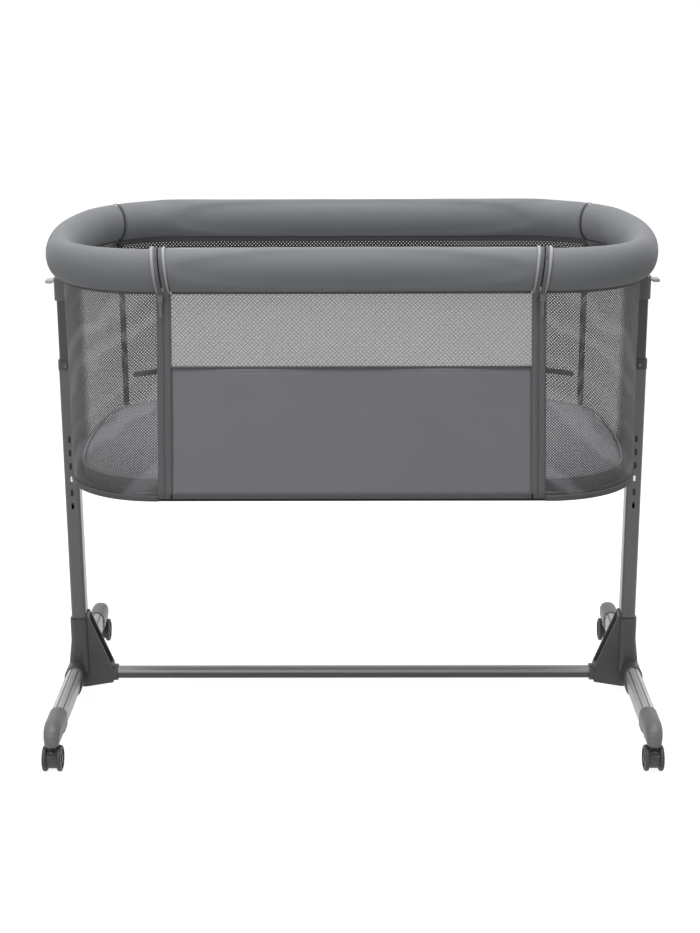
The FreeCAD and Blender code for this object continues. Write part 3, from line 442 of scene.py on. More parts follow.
@dataclass(frozen=True)
class CoatedSteel(Coat):
    """Steel, painted or bare, with fine orange peel and rubbed patches."""

    name: str
    tint: Tint
    metallic: float
    roughness: float
    coat: float = 0.0

    def lay(self, recipe: Recipe) -> None:
        """Lay out the peel and the patches.

        Args:
            recipe: the material being laid out.
        """
        where = recipe.place(Coords.SPACE)
        peel = recipe.noise(where, 700.0, 2.0)
        rub = recipe.noise(where, 22.0, 4.0)
        recipe.feed(
            Base_Color=recipe.mixed(rub, self.tint.linear(0.92), self.tint.linear(1.07)),
            Metallic=self.metallic,
            Roughness=self.roughness * 0.86 + rub * (self.roughness * 0.28),
            Coat_Weight=self.coat,
            Coat_Roughness=0.12,
            Specular_IOR_Level=0.5)
        recipe.relief(peel, 0.00006, 0.35)


@dataclass(frozen=True)
class BandedTube(Coat):
    """A satin tube whose colour is painted in bands: painted reflections and shade of its rounded
    sides.
    """

    name: str
    axis: int
    low: float
    high: float
    painted_light_bands: tuple[tuple[float, float], ...]
    roughness: float = 0.34

    def lay(self, recipe: Recipe) -> None:
        """Lay out the painted reflection and shade bands across the tube and the fine drawing lines
        along it.

        Args:
            recipe: the material being laid out.
        """
        where = recipe.place(Coords.SPACE)
        across = abs(recipe.axes(where)[self.axis])
        share = (across - self.low) / (self.high - self.low)
        # painted reflections and shade: the band tones are set in the colour across the tube
        stops = [(at, Tint(tone, tone, tone + 1).linear()) for at, tone in self.painted_light_bands]
        tone = recipe.node("ShaderNodeValToRGB", {"stops": stops}, {"Fac": share})
        stretch = (1.0, 0.03, 1.0) if self.axis == 0 else (0.03, 1.0, 1.0)
        lines = recipe.noise(recipe.place(Coords.SPACE, stretch), 900.0, 2.0)
        haze = recipe.noise(where, 30.0, 3.0)
        recipe.feed(
            Base_Color=tone,
            Metallic=0.12,
            Roughness=self.roughness * 0.8 + haze * (self.roughness * 0.4),
            Specular_IOR_Level=0.4)
        recipe.relief(lines, 0.00004, 0.3)


@dataclass(frozen=True)
class ZipperMetal(Coat):
    """A worn metal slider with a coated puller below it.

    parting is the height between the two, and eye the place of the puller's hole: its distance
    from the crib's middle and its height. The hole is painted near black as shade.
    """

    name: str
    body: Tint
    puller: Tint
    parting: float
    eye: tuple[float, float]
    parting_blur: float = 0.0006
    eye_rim: tuple[float, float] = (0.0012, 0.0017)

    def lay(self, recipe: Recipe) -> None:
        """Lay out the two coats and the painted shade of the puller's eye.

        Args:
            recipe: the material being laid out.
        """
        where = recipe.place(Coords.SPACE)
        along, _, rise = recipe.axes(where)
        wear = recipe.noise(where, 420.0, 3.0)
        metal = recipe.step(
            rise + wear * 0.004, self.parting - self.parting_blur,
            self.parting + self.parting_blur)
        from_eye_x = abs(along) - self.eye[0]
        from_eye_z = rise - self.eye[1]
        ring = (from_eye_x * from_eye_x + from_eye_z * from_eye_z).root()
        # painted shade: the puller's hole is painted near black
        eye = 1.0 - recipe.step(ring, *self.eye_rim)
        coat = recipe.mixed(eye, self.puller.linear(), self.puller.linear(0.12))
        recipe.feed(
            Base_Color=recipe.mixed(metal, coat, self.body.linear()),
            Metallic=metal * 0.8,
            Roughness=0.24 + wear * 0.2,
            Specular_IOR_Level=0.5)
        recipe.relief(wear, 0.00008, 0.4)


@dataclass(frozen=True)
class MouldedPlastic(Coat):
    """Plastic with a spark-eroded grain."""

    name: str
    tint: Tint
    roughness: float = 0.5
    grain: float = 0.0009
    depth: float = 0.00007

    def lay(self, recipe: Recipe) -> None:
        """Lay out the grain.

        Args:
            recipe: the material being laid out.
        """
        where = recipe.place(Coords.SPACE)
        pits = recipe.node(
            "ShaderNodeTexVoronoi", {"feature": "SMOOTH_F1"},
            {"Vector": where, "Scale": 1 / self.grain})
        haze = recipe.noise(where, 35.0, 4.0)
        recipe.feed(
            Base_Color=recipe.mixed(haze, self.tint.linear(0.90), self.tint.linear(1.10)),
            Roughness=self.roughness * 0.88 + haze * (self.roughness * 0.24),
            Specular_IOR_Level=0.45)
        recipe.relief(pits, self.depth, 0.5)


@dataclass(frozen=True)
class PressedBoard(Coat):
    """Hardboard with short pressed fibres."""

    name: str
    tint: Tint

    def lay(self, recipe: Recipe) -> None:
        """Lay out the fibres.

        Args:
            recipe: the material being laid out.
        """
        fibres = recipe.noise(recipe.place(Coords.SPACE, (1.0, 3.0, 1.0)), 260.0, 5.0)
        recipe.feed(
            Base_Color=recipe.mixed(fibres, self.tint.linear(0.75), self.tint.linear(1.2)),
            Roughness=0.82)
        recipe.relief(fibres, 0.0002, 0.5)


class Finish(Enum):
    """Every finish on the crib."""

    RAIL = WovenCloth("rail_cloth", Tint(128, 130, 133), thread=0.0010)
    PANEL = WovenCloth("panel_cloth", Tint(136, 137, 140), thread=0.0010)
    BAND = KnitMesh("band_cloth", Tint(102, 103, 105), fade=(0.6226, 0.008, 0.096))
    HEM = WovenCloth("hem_cloth", Tint(100, 101, 103), thread=0.0009)
    MATTRESS = WovenCloth(
        "mattress_cloth", Tint(190, 191, 194), Coords.SPACE, thread=0.0016, depth=0.0001,
        heather=0.06, mottle=0.03)
    UNDERSIDE = WovenCloth("bottom_cloth_weave", Tint(92, 93, 95), thread=0.0012)
    MESH = KnitMesh("knit_mesh", Tint(174, 175, 177))
    # the end mesh has painted sheen streaks, up to 2.1 times its tint
    END_MESH = KnitMesh("end_knit_mesh", Tint(90, 91, 93), hole=0.00092, sheen_streaks=2.1)
    REAR_MESH = KnitMesh("rear_knit_mesh", Tint(132, 133, 135), pitch=0.0030, hole=0.00073)
    DARK_MESH = KnitMesh("dark_knit_tape", Tint(34, 34, 36), pitch=0.0058, hole=0.00068)
    TAPE = RibbedTape("zipper_tape_cloth", Tint(112, 113, 115))
    PIPING = RibbedTape("piping_cloth", Tint(178, 180, 182), rib=0.0009)
    WEBBING = RibbedTape("dark_webbing", Tint(52, 52, 54), rib=0.0016)
    THREAD = RibbedTape("sewing_thread", Tint(88, 89, 91), rib=0.0004)
    TEETH = MouldedPlastic("zipper_coil", Tint(58, 58, 60), 0.38, 0.0006)
    DARK_STEEL = CoatedSteel("dark_painted_steel", Tint(84, 84, 86), 0.55, 0.34, coat=0.35)
    # painted reflections and shade: light and dark stripes across the crossbar and the foot bars
    CROSSBAR = BandedTube(
        "crossbar_steel", 2, 0.040, 0.059,
        ((0.0, 112), (0.12, 112), (0.22, 88), (0.58, 88), (0.70, 172), (1.0, 178)))
    FOOT_BAR = BandedTube(
        "foot_bar_steel", 0, 0.4435, 0.4675,
        ((0.0, 205), (0.13, 205), (0.15, 96), (0.20, 96), (0.22, 198), (0.56, 192), (0.58, 88),
         (0.65, 88), (0.67, 228), (0.84, 224), (0.87, 84), (0.93, 84), (0.95, 150), (1.0, 150)))
    # painted shade: the inner post is near black below 0.562 m, where it sits inside the outer post
    INNER_POST = BandedTube(
        "inner_post_steel", 2, 0.0, 1.0, ((0.0, 14), (0.562, 14), (0.564, 80), (1.0, 80)))
    BARE_STEEL = CoatedSteel("bare_steel", Tint(205, 205, 206), 1.0, 0.24)
    DARK_PLASTIC = MouldedPlastic("dark_plastic", Tint(82, 82, 84), 0.46)
    HEAD_PLASTIC = MouldedPlastic("head_plastic", Tint(104, 104, 106), 0.44)
    CAP_PLASTIC = MouldedPlastic("cap_plastic", Tint(118, 118, 120), 0.42)
    WHEEL_PLASTIC = MouldedPlastic("wheel_plastic", Tint(66, 66, 68), 0.5)
    LEVER_PLASTIC = MouldedPlastic("lever_plastic", Tint(208, 209, 210), 0.38)
    BOARD = PressedBoard("pressed_board", Tint(150, 132, 108))
    ZIP_METAL = ZipperMetal(
        "zipper_metal", Tint(96, 97, 98), Tint(112, 113, 115), 0.7255, (0.2642, 0.7160))


class Palette:
    """Makes each finish's material once."""

    def __init__(self) -> None:
        """Start with no materials."""
        self._made: dict[Finish, bpy.types.Material] = {}

    def __getitem__(self, finish: Finish) -> bpy.types.Material:
        """The material of a finish."""
        if finish not in self._made:
            self._made[finish] = finish.value.material()
        return self._made[finish]


PALETTE = Palette()


# ------------------------------------------------------------------ the plan of rail and walls
@dataclass(frozen=True)
class PlanCurve:
    """A plan outline: straight long sides, round corners and bowed ends.

    Places on it are given by the run, the length from the middle of the front side towards the
    right end.
    """

    half_length: float
    half_depth: float
    corner_radius: float
    end_radius: float

    @property
    def corner_y(self) -> float:
        """Y of the corner arc's centre."""
        return self.half_depth - self.corner_radius

    @property
    def join(self) -> float:
        """Angle from the X axis at which the end's arc meets the corner's."""
        return math.asin(self.corner_y / (self.end_radius - self.corner_radius))

    @property
    def corner_x(self) -> float:
        """X of the corner arc's centre."""
        reach = self.end_radius - self.corner_radius
        return self.half_length - self.end_radius + reach * math.cos(self.join)

    @property
    def quarter(self) -> float:
        """Run from the middle of a long side to the middle of an end."""
        return (
            self.corner_x + self.corner_radius * (math.pi / 2 - self.join)
            + self.end_radius * self.join)

    def _quarter_point(self, run: float) -> tuple[float, float, float]:
        """X, Y and the outward angle on the first quarter, from the long side's middle.

        Args:
            run: length from the long side's middle.

        Returns:
            X, Y and the angle from the X axis in radians.
        """
        if run <= self.corner_x:
            return run, self.half_depth, math.pi / 2
        turned = (run - self.corner_x) / self.corner_radius
        if turned <= math.pi / 2 - self.join:
            angle = math.pi / 2 - turned
            return (
                self.corner_x + self.corner_radius * math.cos(angle),
                self.corner_y + self.corner_radius * math.sin(angle), angle)
        angle = (self.quarter - run) / self.end_radius
        return (
            self.half_length - self.end_radius * (1 - math.cos(angle)),
            self.end_radius * math.sin(angle), angle)

    def at(self, run: float) -> tuple[Vector, Vector]:
        """A place on the outline.

        Args:
            run: length from the middle of the front side, positive towards the right end.

        Returns:
            The point and the outward direction, both level.
        """
        whole = 4 * self.quarter
        run = run % whole
        part, left = divmod(run, self.quarter)
        if part in (1, 3):
            left = self.quarter - left
        x, y, angle = self._quarter_point(left)
        way_x = 1 if part in (0, 1) else -1
        way_y = -1 if part in (0, 3) else 1
        return (
            Vector((way_x * x, way_y * y, 0)),
            Vector((way_x * math.cos(angle), way_y * math.sin(angle), 0)))

    def seam_run(self, degrees: float) -> float:
        """Run of an angle on the right rear corner, counted from the X axis."""
        return 2 * self.quarter - self.corner_x - self.corner_radius * math.radians(90 - degrees)


RAIL = PlanCurve(0.4415, 0.2545, 0.146, 0.643)
WALL = PlanCurve(0.4342, 0.256, 0.140, 1.0)

# The padding's section: the height of its middle, and half its width and height.
RAIL_HEIGHT = 0.7655
PAD_HALF_WIDTH = 0.022
PAD_HALF_HEIGHT = 0.0305

# Heights on the walls, and how far a cover's hem reaches down over them.
WALL_LOW = 0.427
WALL_HIGH = 0.7341
DROP_LOW = 0.430
WINDOW_LOW = 0.6265
HEM_DROP = 0.002

# The rear corner seams, in degrees round the corner from the X axis.
REAR_SEAM = 43.0

# A zipper's distance from the middle under the rail and at its foot, and its lean over the rail.
ZIPPER_TOP_X = 0.2640
ZIPPER_FOOT_X = 0.2715
ZIPPER_LEAN = 0.0065


def zipper_x(z: float) -> float:
    """Distance of a zipper's middle line from the crib's middle, at a height on the wall."""
    share = (WALL_HIGH - z) / (WALL_HIGH - DROP_LOW)
    return ZIPPER_TOP_X + (ZIPPER_FOOT_X - ZIPPER_TOP_X) * min(max(share, 0.0), 1.0)


def pad_zipper_x(z: float) -> float:
    """The same over the rail's padding, where the zipper leans outwards."""
    share = (z - RAIL_HEIGHT + PAD_HALF_HEIGHT) / (2 * PAD_HALF_HEIGHT)
    return ZIPPER_TOP_X + ZIPPER_LEAN * min(max(share, 0.0), 1.0)


# ------------------------------------------------------------------ mesh helpers
def piece(
    name: str,
    points: Sequence[Point | Vector],
    faces: Sequence[Sequence[int]],
    finish: Finish,
    uvs: Sequence[tuple[float, float]] | None = None,
) -> bpy.types.Object:
    """Make a smooth mesh object at the origin.

    Args:
        name: its name.
        points: its corners.
        faces: corner numbers of each face, in the order that points it outwards.
        finish: what it is made of.
        uvs: a surface coordinate in metres for each corner.

    Returns:
        The object.
    """
    mesh = bpy.data.meshes.new(name)
    mesh.from_pydata([tuple(point) for point in points], [], [tuple(face) for face in faces])
    if uvs is not None:
        layer = mesh.uv_layers.new(name="UVMap")
        for loop in mesh.loops:
            layer.data[loop.index].uv = uvs[loop.vertex_index]
    mesh.materials.append(PALETTE[finish])
    for face in mesh.polygons:
        face.use_smooth = True
    mesh.validate()
    made = bpy.data.objects.new(name, mesh)
    bpy.context.scene.collection.objects.link(made)
    return made


def quads(
    rows: int, count: int, closed: bool = True, looped: bool = False,
    corners: Sequence[int] = (0, 1, 2, 3),
) -> list[tuple[int, ...]]:
    """Faces between rows of points that are numbered row by row.

    Args:
        rows: how many rows.
        count: points in a row.
        closed: whether each row is a ring.
        looped: whether the last row meets the first.
        corners: order of each face's corners; 0 and 1 lie in its row, 2 and 3 in the next.

    Returns:
        The faces.
    """
    faces = []
    for j in range(rows if looped else rows - 1):
        near, far = j * count, (j + 1) % rows * count
        for i in range(count if closed else count - 1):
            after = (i + 1) % count
            four = (near + i, near + after, far + after, far + i)
            faces.append(tuple(four[corner] for corner in corners))
    return faces


def flipped(faces: Iterable[Sequence[int]]) -> list[tuple[int, ...]]:
    """The same faces, looking the other way."""
    return [tuple(reversed(face)) for face in faces]


def tube_uvs(
    rows: int, ring: int, along: float, across: float
) -> list[tuple[float, float]]:
    """Surface coordinates of a tube whose points are numbered ring by ring, in even steps."""
    return [(row * along, side * across) for row in range(rows) for side in range(ring)]


def grid(
    columns: Sequence[float], rows: Sequence[float], place: Callable[[float, float], Vector]
) -> Surface:
    """A sheet of quads over two parameters.

    Args:
        columns: values of the first parameter.
        rows: values of the second.
        place: gives the point for a pair.

    Returns:
        Points, faces and surface coordinates.
    """
    points = [place(u, v) for v in rows for u in columns]
    uvs = [(u, v) for v in rows for u in columns]
    return points, quads(len(rows), len(columns), closed=False), uvs


def spread(low: float, high: float, step: float) -> list[float]:
    """Even values from low to high, about step apart."""
    count = max(1, round(abs(high - low) / step))
    return [low + (high - low) * i / count for i in range(count + 1)]


def bake(made: bpy.types.Object) -> bpy.types.Object:
    """Turn an object's modifiers into its plain mesh.

    Args:
        made: the object.

    Returns:
        The same object.
    """
    graph = bpy.context.evaluated_depsgraph_get()
    mesh = bpy.data.meshes.new_from_object(made.evaluated_get(graph))
    made.modifiers.clear()
    made.data = mesh
    return made


def thicken(made: bpy.types.Object, thickness: float) -> bpy.types.Object:
    """Give a sheet its thickness, half to each side, with closed edges.

    Args:
        made: the sheet.
        thickness: its thickness.

    Returns:
        The same object.
    """
    solid = made.modifiers.new("Thickness", "SOLIDIFY")
    solid.thickness = thickness
    solid.offset = 0.0
    return bake(made)


def cut_cloth(
    name: str, columns: Sequence[float], rows: Sequence[float],
    place: Callable[[float, float], Vector], finish: Finish, thickness: float = 0.0,
    inside: bool = False,
) -> bpy.types.Object:
    """Make a piece from a sheet of quads.

    Args:
        name: its name.
        columns: values of the first parameter.
        rows: values of the second.
        place: gives the point for a pair.
        finish: what it is made of.
        thickness: its thickness, or 0 for a single layer.
        inside: whether it faces the other way.

    Returns:
        The piece.
    """
    points, faces, uvs = grid(columns, rows, place)
    made = piece(name, points, flipped(faces) if inside else faces, finish, uvs)
    return thicken(made, thickness) if thickness else made


def on_wall(run: float, z: float, out_by: float = 0.0) -> Vector:
    """A point at a run and a height, out_by metres outside the walls' plan."""
    spot, out = WALL.at(run)
    return spot + out * out_by + Vector((0, 0, z))


def settle(
    made: bpy.types.Object, body: str, replaces: Iterable[str] = ()
) -> bpy.types.Object:
    """Put a finished piece on the body that carries it.

    Args:
        made: the piece.
        body: the body that it moves with.
        replaces: CAD nodes that it stands for.

    Returns:
        The piece.
    """
    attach(made, body)
    if replaces:
        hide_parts(*replaces)
    log.info("%s: %d faces on %s", made.name, len(made.data.polygons), body)
    return made


@dataclass(frozen=True)
class Swelling:
    """How a stuffed piece fills out when it is made."""

    pressure: float = 4.0
    stretch_stiffness: float = 25.0
    bending_stiffness: float = 1.5
    cap: float = 0.0022
    frames: int = 20

    def fill(self, made: bpy.types.Object, held: Callable[[Vector], bool]) -> bpy.types.Object:
        """Swell a closed mesh with a short cloth simulation and subdivide it.

        Args:
            made: the piece, with no modifiers.
            held: tells which points are sewn down.

        Returns:
            The piece with its plain mesh.
        """
        self._simulate(made, held)
        finer = made.modifiers.new("Finer", "SUBSURF")
        finer.levels = finer.render_levels = 1
        return bake(made)

    def _simulate(self, made: bpy.types.Object, held: Callable[[Vector], bool]) -> None:
        """Run the simulation and keep its capped result.

        Args:
            made: the piece.
            held: tells which points are sewn down.
        """
        before = [vertex.co.copy() for vertex in made.data.vertices]
        group = made.vertex_groups.new(name="sewn")
        group.add([i for i, point in enumerate(before) if held(point)], 1.0, "REPLACE")
        cloth = made.modifiers.new("Cloth", "CLOTH")
        cloth.settings.vertex_group_mass = group.name
        cloth.settings.use_pressure = True
        cloth.settings.uniform_pressure_force = self.pressure
        cloth.settings.effector_weights.gravity = 0.0
        cloth.settings.tension_stiffness = self.stretch_stiffness
        cloth.settings.compression_stiffness = self.stretch_stiffness
        cloth.settings.bending_stiffness = self.bending_stiffness
        cloth.collision_settings.use_collision = False
        cloth.point_cache.frame_start = 1
        cloth.point_cache.frame_end = self.frames
        scene = bpy.context.scene
        for number in range(1, self.frames + 1):
            scene.frame_set(number)
        graph = bpy.context.evaluated_depsgraph_get()
        after = [vertex.co.copy() for vertex in made.evaluated_get(graph).data.vertices]
        made.modifiers.clear()
        scene.frame_set(1)
        for vertex, start, end in zip(made.data.vertices, before, after):
            move = end - start
            if move.length > self.cap:
                move *= self.cap / move.length
            vertex.co = start + move
        made.vertex_groups.clear()


# ------------------------------------------------------------------ repeated small things
class RepeatShape(Enum):
    """What is set along a seam."""

    STITCH = "stitch"
    TOOTH = "tooth"


@dataclass(frozen=True)
class SeamRun:
    """Stitches or zipper teeth set at even steps along a line by a Geometry Nodes tree."""

    shape: RepeatShape
    spacing: float
    length: float
    width: float

    def tree(self, material: bpy.types.Material) -> bpy.types.NodeTree:
        """Build the node tree.

        Args:
            material: the finish of every copy.

        Returns:
            The tree, with Spacing, Length and Width inputs.
        """
        tree = bpy.data.node_groups.new(f"{self.shape.value}_run", "GeometryNodeTree")
        for name, way, kind in (
                ("Geometry", "INPUT", "Geometry"), ("Spacing", "INPUT", "Float"),
                ("Length", "INPUT", "Float"), ("Width", "INPUT", "Float"),
                ("Geometry", "OUTPUT", "Geometry")):
            tree.interface.new_socket(name, in_out=way, socket_type=f"NodeSocket{kind}")
        layout = Layout(tree)
        outputs = tree.nodes.new("NodeGroupInput").outputs
        spacing, length, width = (
            Term(tree, outputs[name]) for name in ("Spacing", "Length", "Width"))
        line = layout.node(
            "GeometryNodeMeshToCurve", {}, {"Mesh": Term(tree, outputs["Geometry"])})
        even = layout.node(
            "GeometryNodeResampleCurve", {"mode": "LENGTH"}, {"Curve": line, "Length": spacing})
        if self.shape is RepeatShape.STITCH:
            unit = layout.node(
                "GeometryNodeMeshUVSphere", {}, {"Segments": 6, "Rings": 4, "Radius": 0.5})
            sides = {"X": width, "Y": width, "Z": length}
        else:
            unit = layout.node("GeometryNodeMeshCube", {}, {})
            sides = {"X": width, "Y": length, "Z": spacing}
        turn = "FunctionNodeAlignRotationToVector"
        tangent = layout.node("GeometryNodeInputTangent", {}, {})
        along = layout.node(turn, {"axis": "Z"}, {"Vector": tangent})
        across = layout.node(
            turn, {"axis": "X", "pivot_axis": "Z"}, {"Vector": (1.0, 0.0, 0.0), "Rotation": along})
        copies = layout.node(
            "GeometryNodeInstanceOnPoints", {},
            {"Points": even, "Instance": unit, "Rotation": across,
             "Scale": layout.node("ShaderNodeCombineXYZ", {}, sides)})
        real = layout.node("GeometryNodeRealizeInstances", {}, {"Geometry": copies})
        coat = layout.node("GeometryNodeSetMaterial", {}, {"Geometry": real, "Material": material})
        tree.links.new(coat.socket, tree.nodes.new("NodeGroupOutput").inputs[0])
        return tree

    def make(self, name: str, lines: Sequence[Sequence[Vector]], finish: Finish) -> bpy.types.Object:
        """Set the copies along some lines.

        Args:
            name: the piece's name.
            lines: the points of each line.
            finish: what the copies are made of.

        Returns:
            The copies as one plain mesh.
        """
        points, edges = [], []
        for line in lines:
            start = len(points)
            edges += [(start + i, start + i + 1) for i in range(len(line) - 1)]
            points += [tuple(point) for point in line]
        mesh = bpy.data.meshes.new(name)
        mesh.from_pydata(points, edges, [])
        made = bpy.data.objects.new(name, mesh)
        bpy.context.scene.collection.objects.link(made)
        tree = self.tree(PALETTE[finish])
        repeat = made.modifiers.new("Run", "NODES")
        repeat.node_group = tree
        sizes = {"Spacing": self.spacing, "Length": self.length, "Width": self.width}
        for item in tree.interface.items_tree:
            if item.in_out == "INPUT" and item.name in sizes:
                repeat[item.identifier] = sizes[item.name]
        return bake(made)


STITCHES = SeamRun(RepeatShape.STITCH, 0.0036, 0.0026, 0.0007)
FINE_STITCHES = SeamRun(RepeatShape.STITCH, 0.0030, 0.0021, 0.0006)
TEETH = SeamRun(RepeatShape.TOOTH, 0.0021, 0.0016, 0.0017)


# ------------------------------------------------------------------ padded rail
@dataclass(frozen=True)
class CoverEnd:
    """One end of a rail cover.

    zipper is 1 where the right zipper ends the cover, -1 at the left one and 0 at a seam. run is
    the seam's run, or the run that the zipper's is counted from.
    """

    zipper: int = 0
    run: float = 0.0

    def at(self, angle: float, gap: float) -> float:
        """Run of the end at an angle round the rail's section, with a gap added.

        Args:
            angle: where on the section, from its outermost point upwards.
            gap: what is added to the run.

        Returns:
            The run.
        """
        if self.zipper == 0:
            return self.run + gap
        z = RAIL_HEIGHT + PAD_HALF_HEIGHT * math.sin(angle)
        return self.run + (self.zipper * pad_zipper_x(z) + gap)


@dataclass
class RailCovers:
    """The four padded covers on the rail, with their hems and stitches."""

    step: float = 0.006
    sides: int = 28
    end_gap: float = 0.0004
    rim: float = 0.0035
    rim_drop: float = 0.10
    ripple: float = 0.006
    ripple_waves: Point = (41.0, 1.3, 17.0)
    girth: float = 0.165
    sewn_reach: float = 0.008
    hem_line: float = 0.97
    hem_out: float = 0.0012
    rear_inner_drop: float = 0.0085
    hem_thickness: float = 0.0012
    hem_tuck: float = 0.0085
    hem_fold: float = 0.006
    hem_end: float = 0.011
    hem_steps: tuple[float, float] = (0.008, 0.003)
    straight_run: float = 0.28
    stitch_rise: float = 0.0011
    stitch_out: float = 1.7
    stitch_step: float = 0.004
    seam_radius: float = 0.0007
    seam_sink: float = 0.99
    seam_sides: int = 48
    seam_ring: int = 6
    swelling: Swelling = Swelling()

    def build(self) -> None:
        """Make and place every cover."""
        seam = RAIL.seam_run(REAR_SEAM)
        whole = 4 * RAIL.quarter
        right_seam, left_seam = CoverEnd(run=seam), CoverEnd(run=whole - seam)
        for name, body, node, start, end in (
                ("front_rail_pad", "drop_side", "front_rail_cover", CoverEnd(-1), CoverEnd(1)),
                ("right_rail_pad", "basket", "right_end_rail_cover", CoverEnd(1), right_seam),
                ("left_rail_pad", "basket", "left_end_rail_cover", left_seam, CoverEnd(-1, whole)),
                ("rear_rail_pad", "basket", "rear_rail_cover", right_seam, left_seam)):
            self._cover(name, body, node, start, end)
        self._rear_piping(seam, whole - seam)

    def _cover(self, name: str, body: str, node: str, start: CoverEnd, end: CoverEnd) -> None:
        """Make one cover.

        Args:
            name: the cover's name.
            body: the body that carries it.
            node: the CAD node that it replaces.
            start: its first end.
            end: its last end.
        """
        middle_low = start.at(0.0, self.end_gap)
        middle_high = end.at(0.0, -self.end_gap)
        shares = spread(0.0, 1.0, self.step / (middle_high - middle_low))
        points: list[Vector] = []
        uvs: list[tuple[float, float]] = []
        for share in shares:
            for side in range(self.sides):
                angle = 2 * math.pi * side / self.sides
                low = start.at(angle, self.end_gap)
                high = end.at(angle, -self.end_gap)
                run = low + (high - low) * share
                slack = self._slack(run, low, high, angle)
                middle, outward = RAIL.at(run)
                points.append(
                    middle + outward * (PAD_HALF_WIDTH * slack * math.cos(angle))
                    + Vector((0, 0, RAIL_HEIGHT + PAD_HALF_HEIGHT * slack * math.sin(angle))))
                uvs.append((run, self.girth * side / self.sides))
        count = self.sides
        faces = quads(len(shares), count, corners=(1, 2, 3, 0))
        for first, outward_end in ((0, False), (len(points) - count, True)):
            points.append(sum(points[first:first + count], Vector()) / count)
            uvs.append(uvs[first])
            hub = len(points) - 1
            for i in range(count):
                pair = (first + i, first + (i + 1) % count)
                faces.append((*pair, hub) if outward_end else (*reversed(pair), hub))
        made = piece(name, points, faces, Finish.RAIL, uvs)
        ends = [RAIL.at(middle_low)[0], RAIL.at(middle_high)[0]]

        def sewn(point: Vector) -> bool:
            """Whether a point is at a seam or on the hem line.

            Args:
                point: a corner of the cover.

            Returns:
                True where it is held.
            """
            flat = Vector((point.x, point.y, 0))
            from_end = min((flat - spot).length for spot in ends)
            return (
                from_end < PAD_HALF_WIDTH + self.sewn_reach
                or point.z < RAIL_HEIGHT - PAD_HALF_HEIGHT * self.hem_line)
        self.swelling.fill(made, sewn)
        settle(made, body, [node])
        self._hem(name, body, middle_low, middle_high)

    def _slack(self, run: float, low: float, high: float, angle: float) -> float:
        """How full the padding is: rounded over at its ends and a little uneven along its length.

        Args:
            run: the place along the rail.
            low: run of the cover's start.
            high: run of its end.
            angle: where on the section.

        Returns:
            The share of the full section.
        """
        from_end = min(run - low, high - run)
        edge = 1.0 - self.rim_drop * max(0.0, 1.0 - from_end / self.rim) ** 2
        short, twist, long = self.ripple_waves
        wave = math.sin(run * short + twist * math.sin(angle)) * math.cos(run * long)
        return edge + self.ripple * wave - self.ripple

    def _hem(self, name: str, body: str, low: float, high: float) -> None:
        """Make the hem that joins a cover to the wall below it, with its stitches.

        Args:
            name: the cover's name.
            body: the body that carries it.
            low: run of its start.
            high: run of its end.
        """
        if name == "front_rail_pad":
            high = zipper_x(WALL_HIGH) - self.hem_end
            low = -high
        inner_drop = self.rear_inner_drop if name == "rear_rail_pad" else HEM_DROP
        scale = WALL.quarter / RAIL.quarter
        top = RAIL_HEIGHT - PAD_HALF_HEIGHT + self.hem_tuck
        for side, offset, drop in (
                ("outer", self.hem_out, HEM_DROP), ("inner", -self.hem_out, inner_drop)):
            foot = WALL_HIGH - drop

            def place(run: float, z: float, shift: float = offset) -> Vector:
                """A point of the hem, drawn in to the padding at its top."""
                fold = max(0.0, (z - WALL_HIGH + HEM_DROP) / self.hem_fold)
                wall_run = run * scale if abs(run) > self.straight_run else run
                return on_wall(wall_run, z, shift * (1.0 + fold))
            along, up = self.hem_steps
            strip = cut_cloth(
                f"{name}_{side}_hem", spread(low, high, along), spread(foot, top, up), place,
                Finish.HEM, self.hem_thickness, side == "inner")
            high - low
            top - foot
            settle(strip, body)
            line = [
                place(run, foot + self.stitch_rise, offset * self.stitch_out)
                for run in spread(low + self.stitch_step, high - self.stitch_step, self.stitch_step)
            ]
            seam = FINE_STITCHES.make(f"{name}_{side}_stitches", [line], Finish.THREAD)
            settle(seam, body)

    def _rear_piping(self, *runs: float) -> None:
        """Make the dark seams where the end covers meet the rear one.

        Args:
            runs: run of the right seam and of the left one.
        """
        for label, run in zip(("right", "left"), runs):
            middle, outward = RAIL.at(run)
            along = outward.cross(Vector((0, 0, 1)))
            points: list[Vector] = []
            count, ring = self.seam_sides, self.seam_ring
            for i in range(count):
                angle = 2 * math.pi * i / count
                radial = outward * (math.cos(angle) * PAD_HALF_WIDTH) + Vector(
                    (0, 0, math.sin(angle) * PAD_HALF_HEIGHT))
                base = middle + Vector((0, 0, RAIL_HEIGHT)) + radial * self.seam_sink
                away = radial.normalized()
                for j in range(ring):
                    turn = 2 * math.pi * j / ring
                    points.append(
                        base + away * (self.seam_radius * math.cos(turn))
                        + along * (self.seam_radius * math.sin(turn)))
            made = piece(
                f"{label}_rear_cover_seam", points, quads(count, ring, looped=True),
                Finish.WEBBING, tube_uvs(count, ring, 0.0035, 0.001))
            settle(made, "basket")


